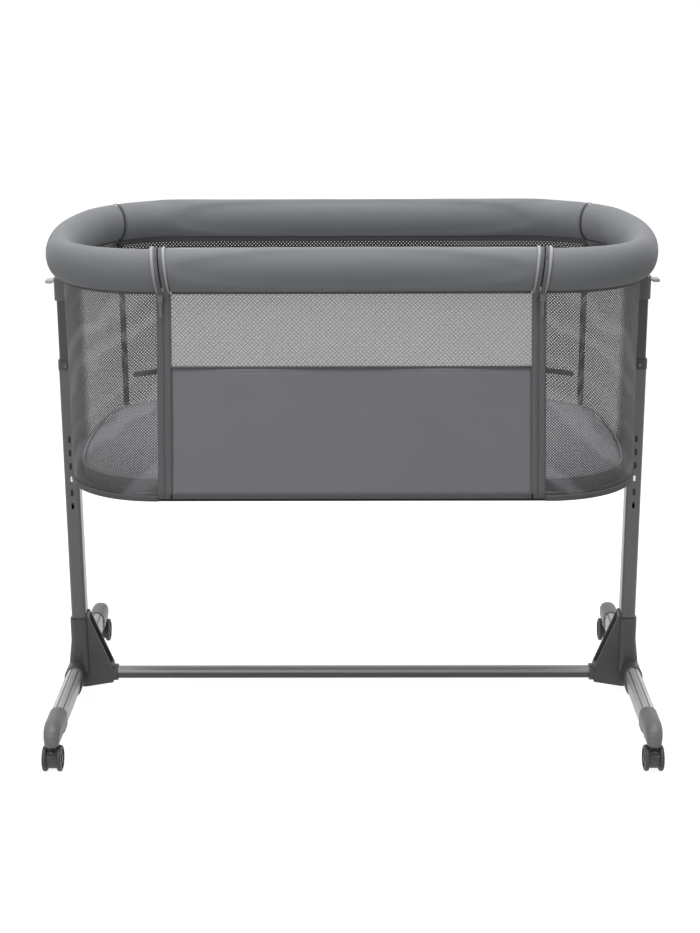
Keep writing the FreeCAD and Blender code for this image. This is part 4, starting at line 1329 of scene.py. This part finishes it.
# ------------------------------------------------------------------ walls
@dataclass
class Walls:
    """The basket's fixed walls: open mesh, closed bands behind the posts, seams and tabs."""

    band_half: float = 0.088
    step: float = 0.008
    row: float = 0.012
    slack: float = 0.0012
    slack_waves: tuple[float, float] = (19.0, 2.2)
    tape_half: float = 0.0102
    under_tape: float = 0.002
    top_tape: float = 0.0185
    top_tape_lap: float = 0.0015
    tape_overrun: float = 0.07
    tape_depth: float = 0.0004
    seam_width: float = 0.013
    seam_depth: float = 0.0016
    seam_short: float = 0.004
    tab_angles: tuple[float, float] = (50.0, 71.0)
    tab_heights: tuple[float, float] = (0.4985, 0.5075)
    tab_depth: float = 0.0019
    tab_thickness: float = 0.0014
    binding_height: float = 0.008
    binding_below: float = 0.0005
    binding_out: float = 0.0014
    binding_thickness: float = 0.0012
    binding_stitches: tuple[float, float] = (0.002, 0.0022)

    def build(self) -> None:
        """Make and place every wall."""
        quarter = WALL.quarter
        seam = WALL.seam_run(REAR_SEAM)
        whole = 4 * quarter
        tabs = []
        for end, way in (("right", 1), ("left", -1)):
            band_low, band_high = quarter - self.band_half, quarter + self.band_half
            foot = zipper_x(DROP_LOW) + self.tape_half
            trims = self._binding(f"{end}_bottom_binding", way, foot, seam)
            for part, runs, finish, node, sewn in (
                    ("front_mesh", (None, band_low), Finish.END_MESH, "end_mesh", ()),
                    ("band", (band_low, band_high), Finish.BAND, "end_band", trims),
                    ("rear_mesh", (band_high, seam), Finish.REAR_MESH, "end_mesh", ())):
                self._panel(end, way, part, runs, finish, f"{end}_{node}", sewn)
            self._rear_seam(end, way, seam)
            tabs.append(self._tab(end, way))
        columns = spread(seam, whole - seam, self.step)
        trims = self._binding("rear_bottom_binding", 1, seam, whole - seam)
        self._sheet(
            "rear_mesh_wall", columns, Finish.REAR_MESH, "rear_mesh", "mesh_fabric",
            trims=trims + tabs, high=WALL_HIGH - self.top_tape + self.top_tape_lap)
        self._top_tape(
            spread(seam - self.tape_overrun, whole - seam + self.tape_overrun, self.step))

    def _panel(
        self, end: str, way: int, part: str, runs: tuple[float | None, float], finish: Finish,
        node: str, trims: Sequence[bpy.types.Object] = (),
    ) -> None:
        """Make one wall panel.

        Args:
            end: left or right.
            way: 1 for the right end and -1 for the left.
            part: the panel's place.
            runs: run of its two edges; None for the edge at the zipper.
            finish: its cloth.
            node: the CAD node that it replaces.
            trims: the narrow pieces sewn to it.
        """
        low, high = runs
        slot = "panel_fabric" if finish is Finish.BAND else "mesh_fabric"
        start = zipper_x(WALL_HIGH) + self.tape_half - self.under_tape if low is None else low
        columns = [way * value for value in spread(start, high, self.step)]
        if way < 0:
            columns.reverse()
        name = f"{end}_{part}_wall"
        self._sheet(name, columns, finish, node, slot, low is None, way, trims)

    def _sheet(
        self, name: str, columns: Sequence[float], finish: Finish, node: str, slot: str,
        leaning: bool = False, way: int = 1, trims: Sequence[bpy.types.Object] = (),
        high: float = WALL_HIGH,
    ) -> None:
        """Make a wall sheet over a run of the plan.

        Args:
            name: its name.
            columns: runs of its columns.
            finish: its cloth.
            node: the CAD node that it replaces.
            slot: a material slot's name; not used.
            leaning: whether its front edge follows the zipper.
            way: 1 for the right end and -1 for the left.
            trims: the narrow pieces sewn to it; not used.
            high: its upper edge.
        """
        rows = spread(WALL_LOW, high, self.row)
        edge = min(abs(columns[0]), abs(columns[-1]))
        far = max(abs(columns[0]), abs(columns[-1]))

        def place(run: float, z: float) -> Vector:
            """A point of the wall, slightly slack between its edges.

            Args:
                run: its place along the plan.
                z: its height.

            Returns:
                The point.
            """
            if leaning:
                lean = zipper_x(z) - zipper_x(WALL_HIGH)
                share = (far - abs(run)) / (far - edge)
                run = run + way * lean * share
            rise = (z - WALL_LOW) / (WALL_HIGH - WALL_LOW)
            level, upright = self.slack_waves
            wave = math.sin(run * level + upright * rise)
            return on_wall(run, z, self.slack * math.sin(math.pi * rise) * wave)
        made = cut_cloth(name, columns, rows, place, finish)
        length = abs(columns[-1] - columns[0])
        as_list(trims)
        settle(made, "basket", [node])

    def _top_tape(self, columns: Sequence[float]) -> None:
        """Make the dark knitted tape along the rear and round its corners, below the rail.

        Args:
            columns: runs of its columns.
        """
        made = cut_cloth(
            "rear_top_tape", columns, spread(WALL_HIGH - self.top_tape, WALL_HIGH, 0.006),
            lambda run, z: on_wall(run, z, -self.tape_depth), Finish.DARK_MESH)
        abs(columns[-1] - columns[0])
        settle(made, "basket", ["rear_mesh"])

    def _rear_seam(self, end: str, way: int, seam: float) -> None:
        """Make the dark tape inside a rear corner seam.

        Args:
            end: left or right.
            way: 1 for the right end and -1 for the left.
            seam: the right seam's run.
        """
        half = self.seam_width / 2
        columns = [way * seam - half, way * seam, way * seam + half]
        rows = spread(WALL_LOW + self.seam_short, WALL_HIGH - self.seam_short, 0.02)
        made = cut_cloth(
            f"{end}_rear_corner_tape", columns, rows,
            lambda run, z: on_wall(run, z, -self.seam_depth), Finish.DARK_MESH)
        settle(made, "basket")

    def _tab(self, end: str, way: int) -> bpy.types.Object:
        """Make the short webbing tab inside a rear corner.

        Args:
            end: left or right.
            way: 1 for the right end and -1 for the left.

        Returns:
            The tab.
        """
        first, last = (WALL.seam_run(angle) for angle in self.tab_angles)
        made = cut_cloth(
            f"{end}_webbing_tab", sorted(way * run for run in spread(first, last, 0.004)),
            spread(*self.tab_heights, 0.003), lambda run, z: on_wall(run, z, -self.tab_depth),
            Finish.WEBBING, self.tab_thickness)
        return settle(made, "basket", ["webbing_tabs"])

    def _binding(self, name: str, way: int, low: float, high: float) -> list[bpy.types.Object]:
        """Make the folded binding along the walls' lower edge, with its stitches.

        Args:
            name: its name.
            way: 1 for the right end and -1 for the left.
            low: run of its start.
            high: run of its end.

        Returns:
            The binding and its stitches.
        """
        columns = sorted(way * run for run in spread(low, high, self.step))
        top = WALL_LOW + self.binding_height
        made = cut_cloth(
            name, columns, spread(WALL_LOW - self.binding_below, top, 0.004),
            lambda run, z: on_wall(run, z, self.binding_out), Finish.HEM, self.binding_thickness)
        below, stand = self.binding_stitches
        line = [on_wall(run, top - below, stand) for run in columns]
        seam = STITCHES.make(f"{name}_stitches", [line], Finish.THREAD)
        return [settle(one, "basket") for one in (made, seam)]


# ------------------------------------------------------------------ drop side
@dataclass
class DropSide:
    """The front side between the zippers: mesh window above a closed cloth panel."""

    tape_half: float = 0.0102
    under_tape: float = 0.002
    thickness: float = 0.0010
    slack: float = 0.0009
    slack_waves: tuple[float, float] = (23.0, 1.7)
    row: float = 0.012
    seam_reach: tuple[float, float] = (-0.002, 0.0015)
    seam_stand: float = 0.0010
    hem_height: float = 0.007
    hem_stand: float = 0.0011
    foot_stitches: Point = (0.258, 0.2582, 0.0055)
    seam_stitches: Point = (0.255, 0.2578, -0.005)

    def build(self) -> None:
        """Make and place the window, the panel and their seams."""
        stitches = [
            self._stitch_line(DROP_LOW, *self.foot_stitches),
            self._stitch_line(WINDOW_LOW, *self.seam_stitches),
        ]
        seam_low, seam_high = (WINDOW_LOW + reach for reach in self.seam_reach)
        trims = [
            self._band("window_seam", seam_low, seam_high, self.seam_stand),
            self._band("panel_hem", DROP_LOW, DROP_LOW + self.hem_height, self.hem_stand),
            settle(
                STITCHES.make("panel_stitches", stitches, Finish.THREAD), "drop_side"),
        ]
        self._sheet("front_window", WINDOW_LOW, WALL_HIGH, Finish.MESH, "front_mesh_window", [])
        self._sheet(
            "front_panel", DROP_LOW, WINDOW_LOW, Finish.PANEL, "front_fabric_panel", trims)

    @staticmethod
    def _stitch_line(level: float, half: float, front: float, rise: float) -> list[Vector]:
        """A level line of stitches: half its length, its distance in front and its rise."""
        return [Vector((x, -front, level + rise)) for x in spread(-half, half, 0.01)]

    def _half_width(self, z: float) -> float:
        """Half the width of the drop side, with its edges under the zipper tapes."""
        return zipper_x(z) - self.tape_half + self.under_tape

    def _sheet(
        self, name: str, low: float, high: float, finish: Finish, node: str,
        trims: Sequence[bpy.types.Object],
    ) -> None:
        """Make one sheet of the drop side.

        Args:
            name: its name.
            low: its lower edge.
            high: its upper edge.
            finish: its cloth.
            node: the CAD node that it replaces.
            trims: the narrow pieces sewn to it; not used.
        """
        def place(share: float, z: float) -> Vector:
            """A point of the sheet, with a slight hanging wave.

            Args:
                share: from -1 at the left edge to 1 at the right.
                z: its height.

            Returns:
                The point.
            """
            x = share * self._half_width(z)
            rise = (z - DROP_LOW) / (WALL_HIGH - DROP_LOW)
            level, start = self.slack_waves
            wave = self.slack * math.sin(math.pi * rise) * math.sin(x * level + start)
            return Vector((x, -WALL.half_depth + wave, z))
        shares = spread(-1.0, 1.0, 0.03)
        points, faces, _ = grid(shares, spread(low, high, self.row), place)
        uvs = [(point.x, point.z) for point in points]
        made = piece(name, points, faces, finish, uvs)
        if finish is not Finish.MESH:
            made = thicken(made, self.thickness)
        width = 2 * max(self._half_width(low), self._half_width(high))
        mean = self._half_width(low) + self._half_width(high)
        high - low
        mean * (high - low)
        settle(
            made, "drop_side", [node])

    def _band(self, name: str, low: float, high: float, stand: float) -> bpy.types.Object:
        """Make a narrow folded strip across the drop side.

        Args:
            name: its name.
            low: its lower edge.
            high: its upper edge.
            stand: how far it stands off the sheet behind it.

        Returns:
            The strip.
        """
        half = self._half_width(low)
        made = cut_cloth(
            name, spread(-half, half, 0.02), spread(low, high, 0.002),
            lambda x, z: Vector((x, -WALL.half_depth - stand, z)), Finish.HEM, self.thickness)
        return settle(made, "drop_side")


# ------------------------------------------------------------------ zippers
@dataclass
class Zippers:
    """The two zippers: tape bands, piping over the rail and the coil between."""

    band: float = 0.0100
    gap: float = 0.0003
    pad_gap: float = 0.0009
    coil_spread: float = 0.0024
    lift: float = 0.0011
    thickness: float = 0.0010
    wrap: tuple[int, int, int] = (205, -66, -6)
    ease_drop: float = 0.014
    foot_gap: float = 0.0005
    pad_rise: float = 0.008
    piping_place: float = 0.0084
    piping_radius: tuple[float, float] = (0.0013, 0.0024)
    piping_lift: float = 0.0004
    piping_tip: float = 0.35
    piping_flat: float = 0.7
    piping_ring: int = 8
    piping_below: float = 0.004
    coil_out: float = 0.0006
    coil_lift: float = 0.6

    def build(self) -> None:
        """Make both halves of both zippers, each on its own body."""
        for end, way in (("right", 1), ("left", -1)):
            for half, side, body in (("drop", -1, "drop_side"), ("fixed", 1, "basket")):
                self._tape(f"{end}_{half}_tape", way, side, body)
                self._piping(f"{end}_{half}_piping", way, side, body)
                self._coil(f"{end}_{half}_teeth", way, side, body)

    def _path(self, lift: float) -> list[Vector]:
        """The zipper's middle line, from inside the rail over it and down to the panel's foot.

        Args:
            lift: how far it stands off the cloth.

        Returns:
            Points with X as the distance from the crib's middle.
        """
        line: list[Vector] = []
        for degrees in range(*self.wrap):
            angle = math.radians(degrees)
            y = -RAIL.half_depth - (PAD_HALF_WIDTH + lift) * math.cos(angle)
            z = RAIL_HEIGHT + (PAD_HALF_HEIGHT + lift) * math.sin(angle)
            line.append(Vector((pad_zipper_x(z), y, z)))
        last = line[-1]
        wall_y = -WALL.half_depth - lift
        for share in (0.25, 0.5, 0.75, 1.0):
            ease = share * share * (3 - 2 * share)
            z = last.z - self.ease_drop * share
            line.append(Vector((
                last.x + (zipper_x(z) - last.x) * ease, last.y + (wall_y - last.y) * ease, z)))
        for z in spread(line[-1].z, DROP_LOW + self.foot_gap, 0.012)[1:]:
            line.append(Vector((zipper_x(z), wall_y, z)))
        return line

    def _on_pad(self, point: Vector) -> float:
        """1 on the rail's padding, 0 on the wall."""
        return min(max((point.z - WALL_HIGH) / self.pad_rise, 0.0), 1.0)

    def _tape(self, name: str, way: int, side: int, body: str) -> None:
        """Make one band of tape, from its edge at the coil to its sewn edge.

        Args:
            name: its name.
            way: 1 for the right zipper and -1 for the left.
            side: 1 for the half away from the crib's middle, -1 for the other.
            body: the body that carries it.
        """
        line = self._path(self.lift)
        points: list[Vector] = []
        uvs: list[tuple[float, float]] = []
        run = 0.0
        far = self.gap + self.band
        for index, spot in enumerate(line):
            if index:
                run += (spot - line[index - 1]).length
            near = self.gap + (self.pad_gap - self.gap) * self._on_pad(spot)
            for share in (0.0, 0.5, 1.0):
                out = near + (far - near) * share
                points.append(Vector((way * (spot.x + side * out), spot.y, spot.z)))
                uvs.append((run, out))
        faces = quads(len(line), 3, closed=False, corners=(0, 3, 2, 1))
        if way * side < 0:
            faces = flipped(faces)
        made = piece(name, points, faces, Finish.TAPE, uvs)
        made = thicken(made, self.thickness)
        settle(made, body, ["zipper_tapes"])

    def _piping(self, name: str, way: int, side: int, body: str) -> None:
        """Make the round piping at a band's outer edge, over the rail only.

        Args:
            name: its name.
            way: 1 for the right zipper and -1 for the left.
            side: 1 for the half away from the crib's middle, -1 for the other.
            body: the body that carries it.
        """
        lowest = WALL_HIGH - self.piping_below
        line = [spot for spot in self._path(self.lift) if spot.z > lowest]
        ring = self.piping_ring
        points: list[Vector] = []
        for index, spot in enumerate(line):
            before = line[max(index - 1, 0)]
            after = line[min(index + 1, len(line) - 1)]
            along = (after - before).normalized()
            away = Vector((0, along.z, -along.y)).normalized()
            if away.dot(spot - Vector((spot.x, -RAIL.half_depth, RAIL_HEIGHT))) < 0:
                away.negate()
            share = min(max((spot.z - WALL_HIGH) / (2 * PAD_HALF_HEIGHT), 0.0), 1.0)
            low, high = self.piping_radius
            radius = low + (high - low) * share
            centre = (
                spot + Vector((side * self.piping_place, 0, 0)) + away * self.piping_lift)
            thin = self.piping_tip if index in (0, len(line) - 1) else 1.0
            for j in range(ring):
                turn = 2 * math.pi * j / ring
                flat = Vector((math.cos(turn), 0, 0)) + away * (self.piping_flat * math.sin(turn))
                skin = centre + flat * (radius * thin)
                points.append(Vector((way * skin.x, skin.y, skin.z)))
        rows = len(line)
        faces = quads(rows, ring)
        faces += [tuple(range(ring))[::-1], tuple((rows - 1) * ring + j for j in range(ring))]
        if way > 0:
            faces = flipped(faces)
        made = piece(name, points, faces, Finish.PIPING, tube_uvs(rows, ring, 0.003, 0.0016))
        settle(made, body)

    def _coil(self, name: str, way: int, side: int, body: str) -> None:
        """Make one half's teeth.

        Args:
            name: its name.
            way: 1 for the right zipper and -1 for the left.
            side: 1 for the half away from the crib's middle, -1 for the other.
            body: the body that carries it.
        """
        line = []
        for spot in self._path(self.lift * self.coil_lift):
            out = self.coil_out + self.coil_spread * self._on_pad(spot)
            line.append(Vector((way * (spot.x + side * out), spot.y, spot.z)))
        shift = (line[1] - line[0]).normalized() * (TEETH.spacing / 2 if side > 0 else 0.0)
        line = [spot + shift for spot in line]
        settle(TEETH.make(name, [line], Finish.TEETH), body)


# ------------------------------------------------------------------ mattress and floor
@dataclass
class Bedding:
    """The mattress and the cloth under the basket."""

    inset: float = 0.0134
    low: float = 0.4303
    side: float = 0.026
    crown: float = 0.008
    soft: float = 0.006
    voxel: float = 0.0065
    sewn_height: float = 0.0035
    piping: float = 0.0020
    piping_inset: float = 0.003
    piping_drop: float = 0.002
    piping_sides: int = 240
    piping_ring: int = 8
    end_turn: float = 2.2
    cloth_level: float = 0.4262
    cloth_insets: tuple[float, ...] = (0.0018, 0.03, 0.08, 0.13)
    cloth_thickness: float = 0.0008

    def build(self) -> None:
        """Make and place both."""
        self._mattress()
        self._bottom_cloth()

    def _outline(self, inset: float, z: float, count: int = 120) -> list[Vector]:
        """The plan outline, drawn in by inset, at a height.

        Args:
            inset: how far it is drawn in.
            z: its height.
            count: how many points.

        Returns:
            Its points.
        """
        curve = PlanCurve(
            WALL.half_length - inset, WALL.half_depth - inset, WALL.corner_radius - inset,
            WALL.end_radius - inset)
        whole = 4 * curve.quarter
        return [curve.at(whole * i / count)[0] + Vector((0, 0, z)) for i in range(count)]

    def _mattress(self) -> None:
        """Make the crowned mattress from its section, swell it and sew its piping.

        The section is a list of insets and rises, from the lower edge to the crown.
        """
        section = (
            (self.soft, 0.0), (0.002, self.soft * 0.5), (0.0015, self.side * 0.5),
            (0.003, self.side - self.soft * 0.6), (self.soft * 1.6, self.side + 0.001),
            (self.soft * 7, self.side + self.crown * 0.65),
            (self.soft * 16, self.side + self.crown * 0.9),
        )
        rings = [self._outline(self.inset + inset, self.low + rise) for inset, rise in section]
        count = len(rings[0])
        points = [point for ring in rings for point in ring]
        faces = quads(len(rings), count)
        faces.append(tuple(reversed(range(count))))
        faces.append(tuple((len(rings) - 1) * count + i for i in range(count)))
        made = piece("mattress_pad", points, faces, Finish.MATTRESS)
        shaped = made.modifiers.new("Even", "REMESH")
        shaped.mode = "VOXEL"
        shaped.voxel_size = self.voxel
        shaped.use_smooth_shade = True
        bake(made)
        floor = self.low + self.sewn_height

        def sewn(point: Vector) -> bool:
            """Whether a point lies on the board."""
            return point.z < floor
        Swelling().fill(made, sewn)
        for vertex in made.data.vertices:
            vertex.co.z = max(vertex.co.z, self.low)
        settle(made, "basket", ["mattress"])
        self._mattress_piping()

    def _mattress_piping(self) -> None:
        """Make the piping round the mattress's upper edge."""
        level = self.low + self.side - self.piping_drop
        spine = self._outline(self.inset + self.piping_inset, level, self.piping_sides)
        ring = self.piping_ring
        points: list[Vector] = []
        for spot in spine:
            out = Vector((spot.x, spot.y * self.end_turn, 0)).normalized()
            for j in range(ring):
                turn = 2 * math.pi * j / ring
                points.append(
                    spot + (out * math.cos(turn) + Vector((0, 0, math.sin(turn)))) * self.piping)
        count = len(spine)
        faces = quads(count, ring, looped=True, corners=(0, 3, 2, 1))
        made = piece(
            "mattress_piping", points, faces, Finish.PIPING, tube_uvs(count, ring, 0.01, 0.0016))
        settle(made, "basket")

    def _bottom_cloth(self) -> None:
        """Make the cloth under the base board."""
        rings = [self._outline(inset, self.cloth_level) for inset in self.cloth_insets]
        count = len(rings[0])
        points = [point for ring in rings for point in ring]
        faces = flipped(quads(len(rings), count))
        faces.append(tuple(reversed([(len(rings) - 1) * count + i for i in range(count)])))
        uvs = [(point.x, point.y) for point in points]
        made = piece("basket_bottom_cloth", points, faces, Finish.UNDERSIDE, uvs)
        made = thicken(made, self.cloth_thickness)
        edge = self.cloth_insets[0]
        flat = tuple(2 * (half - edge) for half in (WALL.half_length, WALL.half_depth))
        settle(made, "basket", ["bottom_cloth"])


# ------------------------------------------------------------------ hard parts from the CAD
@dataclass(frozen=True)
class HardParts:
    """The finishes of the solids that stay as the CAD made them."""

    finishes: tuple[tuple[str, Finish], ...] = (
        ("outer_post", Finish.DARK_STEEL),
        ("inner_post", Finish.INNER_POST),
        ("base_bracket", Finish.DARK_PLASTIC),
        ("post_collar", Finish.DARK_PLASTIC),
        ("post_head", Finish.HEAD_PLASTIC),
        ("release_lever", Finish.LEVER_PLASTIC),
        ("latch_pin", Finish.BARE_STEEL),
        ("foot_bar", Finish.FOOT_BAR),
        ("crossbar", Finish.CROSSBAR),
        ("foot_cap", Finish.CAP_PLASTIC),
        ("caster_fork", Finish.DARK_PLASTIC),
        ("caster_wheels", Finish.WHEEL_PLASTIC),
        ("caster_axle", Finish.WHEEL_PLASTIC),
        ("brake_pedal", Finish.WHEEL_PLASTIC),
        ("frame_screws", Finish.DARK_STEEL),
        ("zipper_slider", Finish.ZIP_METAL),
        ("rail_tube", Finish.DARK_STEEL),
        ("lower_frame", Finish.DARK_STEEL),
        ("base_board", Finish.BOARD),
    )

    def dress(self) -> None:
        """Put each finish on the nodes whose name ends with its key."""
        for name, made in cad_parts.items():
            if made.hide_render:
                continue
            for ending, finish in self.finishes:
                if name.endswith(ending):
                    if not made.material_slots:
                        made.data.materials.append(PALETTE[finish])
                    for holder in made.material_slots:
                        holder.material = PALETTE[finish]
                    log.info("%s dressed as %s", name, finish.name.lower())
                    break
            else:
                log.warning("%s has no finish", name)


# ------------------------------------------------------------------ studio
@dataclass(frozen=True)
class Studio:
    """Camera, floor and lamps."""

    place: Point = (0.0138, -2.6638, 1.1838)
    pitch: float = 16.32
    yaw: float = -0.391
    roll: float = -0.210
    lens: float = 66.89
    sensor: float = 36.0
    sight: float = 300.0
    ambient: float = 0.25
    floor_reach: float = 80.0
    floor_tone: float = 0.46
    floor_glow: float = 0.90
    lamps: tuple[tuple[str, Point, Point, float, float], ...] = (
        ("overhead_lamp", (0.0, -0.2, 2.9), (0.0, 0.0, 0.4), 2.6, 76.0),
        ("front_lamp", (-1.4, -3.2, 1.9), (0.0, 0.0, 0.5), 2.2, 30.0),
    )

    def build(self) -> None:
        """Set the camera, the lamps and the floor up."""
        scene = bpy.context.scene
        scene.view_settings.view_transform = "Standard"
        self._camera(scene)
        self._world(scene)
        self._floor()
        for lamp in self.lamps:
            self._lamp(*lamp)

    def _camera(self, scene: bpy.types.Scene) -> None:
        """Place the camera as the photograph was taken.

        Args:
            scene: the scene.
        """
        data = bpy.data.cameras.new("camera")
        data.sensor_width = self.sensor
        data.lens = self.lens
        data.clip_end = self.sight
        made = bpy.data.objects.new("camera", data)
        scene.collection.objects.link(made)
        yaw, pitch, roll = (math.radians(value) for value in (self.yaw, self.pitch, self.roll))
        forward = Vector((
            math.sin(yaw) * math.cos(pitch), math.cos(yaw) * math.cos(pitch), -math.sin(pitch)))
        right = Vector((math.cos(yaw), -math.sin(yaw), 0.0))
        up = right.cross(forward)
        across = right * math.cos(roll) + up * math.sin(roll)
        above = up * math.cos(roll) - right * math.sin(roll)
        turn = Matrix((across, above, -forward)).transposed()
        made.matrix_world = Matrix.Translation(self.place) @ turn.to_4x4()
        scene.camera = made

    def _world(self, scene: bpy.types.Scene) -> None:
        """White to the camera and in reflections, dimmer as light.

        Args:
            scene: the scene.
        """
        world = bpy.data.worlds.new("studio_world")
        scene.world = world
        world.use_nodes = True
        layout = Layout(world.node_tree)
        layout.tree.nodes.clear()
        strength = layout.seen() * (1.0 - self.ambient) + self.ambient
        light = layout.node(
            "ShaderNodeBackground", {}, {"Color": (1.0, 1.0, 1.0, 1.0), "Strength": strength})
        result = layout.tree.nodes.new("ShaderNodeOutputWorld")
        layout.tree.links.new(light.socket, result.inputs["Surface"])

    def _floor(self) -> None:
        """A wide pale floor that reads as white but keeps the crib's shadow."""
        reach = self.floor_reach
        mesh = bpy.data.meshes.new("studio_floor")
        mesh.from_pydata(
            [(-reach, -reach, 0), (reach, -reach, 0), (reach, reach, 0), (-reach, reach, 0)],
            [], [(0, 1, 2, 3)])
        made = bpy.data.objects.new("studio_floor", mesh)
        bpy.context.scene.collection.objects.link(made)
        recipe = Recipe("studio_floor_paint")
        tone, glow = self.floor_tone, self.floor_glow
        recipe.feed(
            Base_Color=(tone, tone, tone, 1.0), Roughness=0.9, Specular_IOR_Level=0.0,
            Emission_Color=recipe.mixed(recipe.seen(), (0.0, 0.0, 0.0, 1.0), (glow, glow, glow, 1.0)),
            Emission_Strength=1.0)
        mesh.materials.append(recipe.material)

    @staticmethod
    def _lamp(name: str, place: Point, target: Point, size: float, power: float) -> None:
        """Make a soft square lamp.

        Args:
            name: its name.
            place: where it hangs.
            target: what it points at.
            size: length of its sides.
            power: its power in watts.
        """
        data = bpy.data.lights.new(name, "AREA")
        data.shape = "SQUARE"
        data.size = size
        data.energy = power
        made = bpy.data.objects.new(name, data)
        bpy.context.scene.collection.objects.link(made)
        aim = Vector(target) - Vector(place)
        made.matrix_world = (
            Matrix.Translation(place) @ aim.to_track_quat("-Z", "Y").to_matrix().to_4x4())


def main() -> None:
    """Dress the crib and set the studio up."""
    logging.basicConfig(level=logging.INFO, format="%(name)s: %(message)s")
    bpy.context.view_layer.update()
    RailCovers().build()
    Walls().build()
    DropSide().build()
    Zippers().build()
    Bedding().build()
    HardParts().dress()
    Studio().build()


if __name__ == "__main__":
    main()
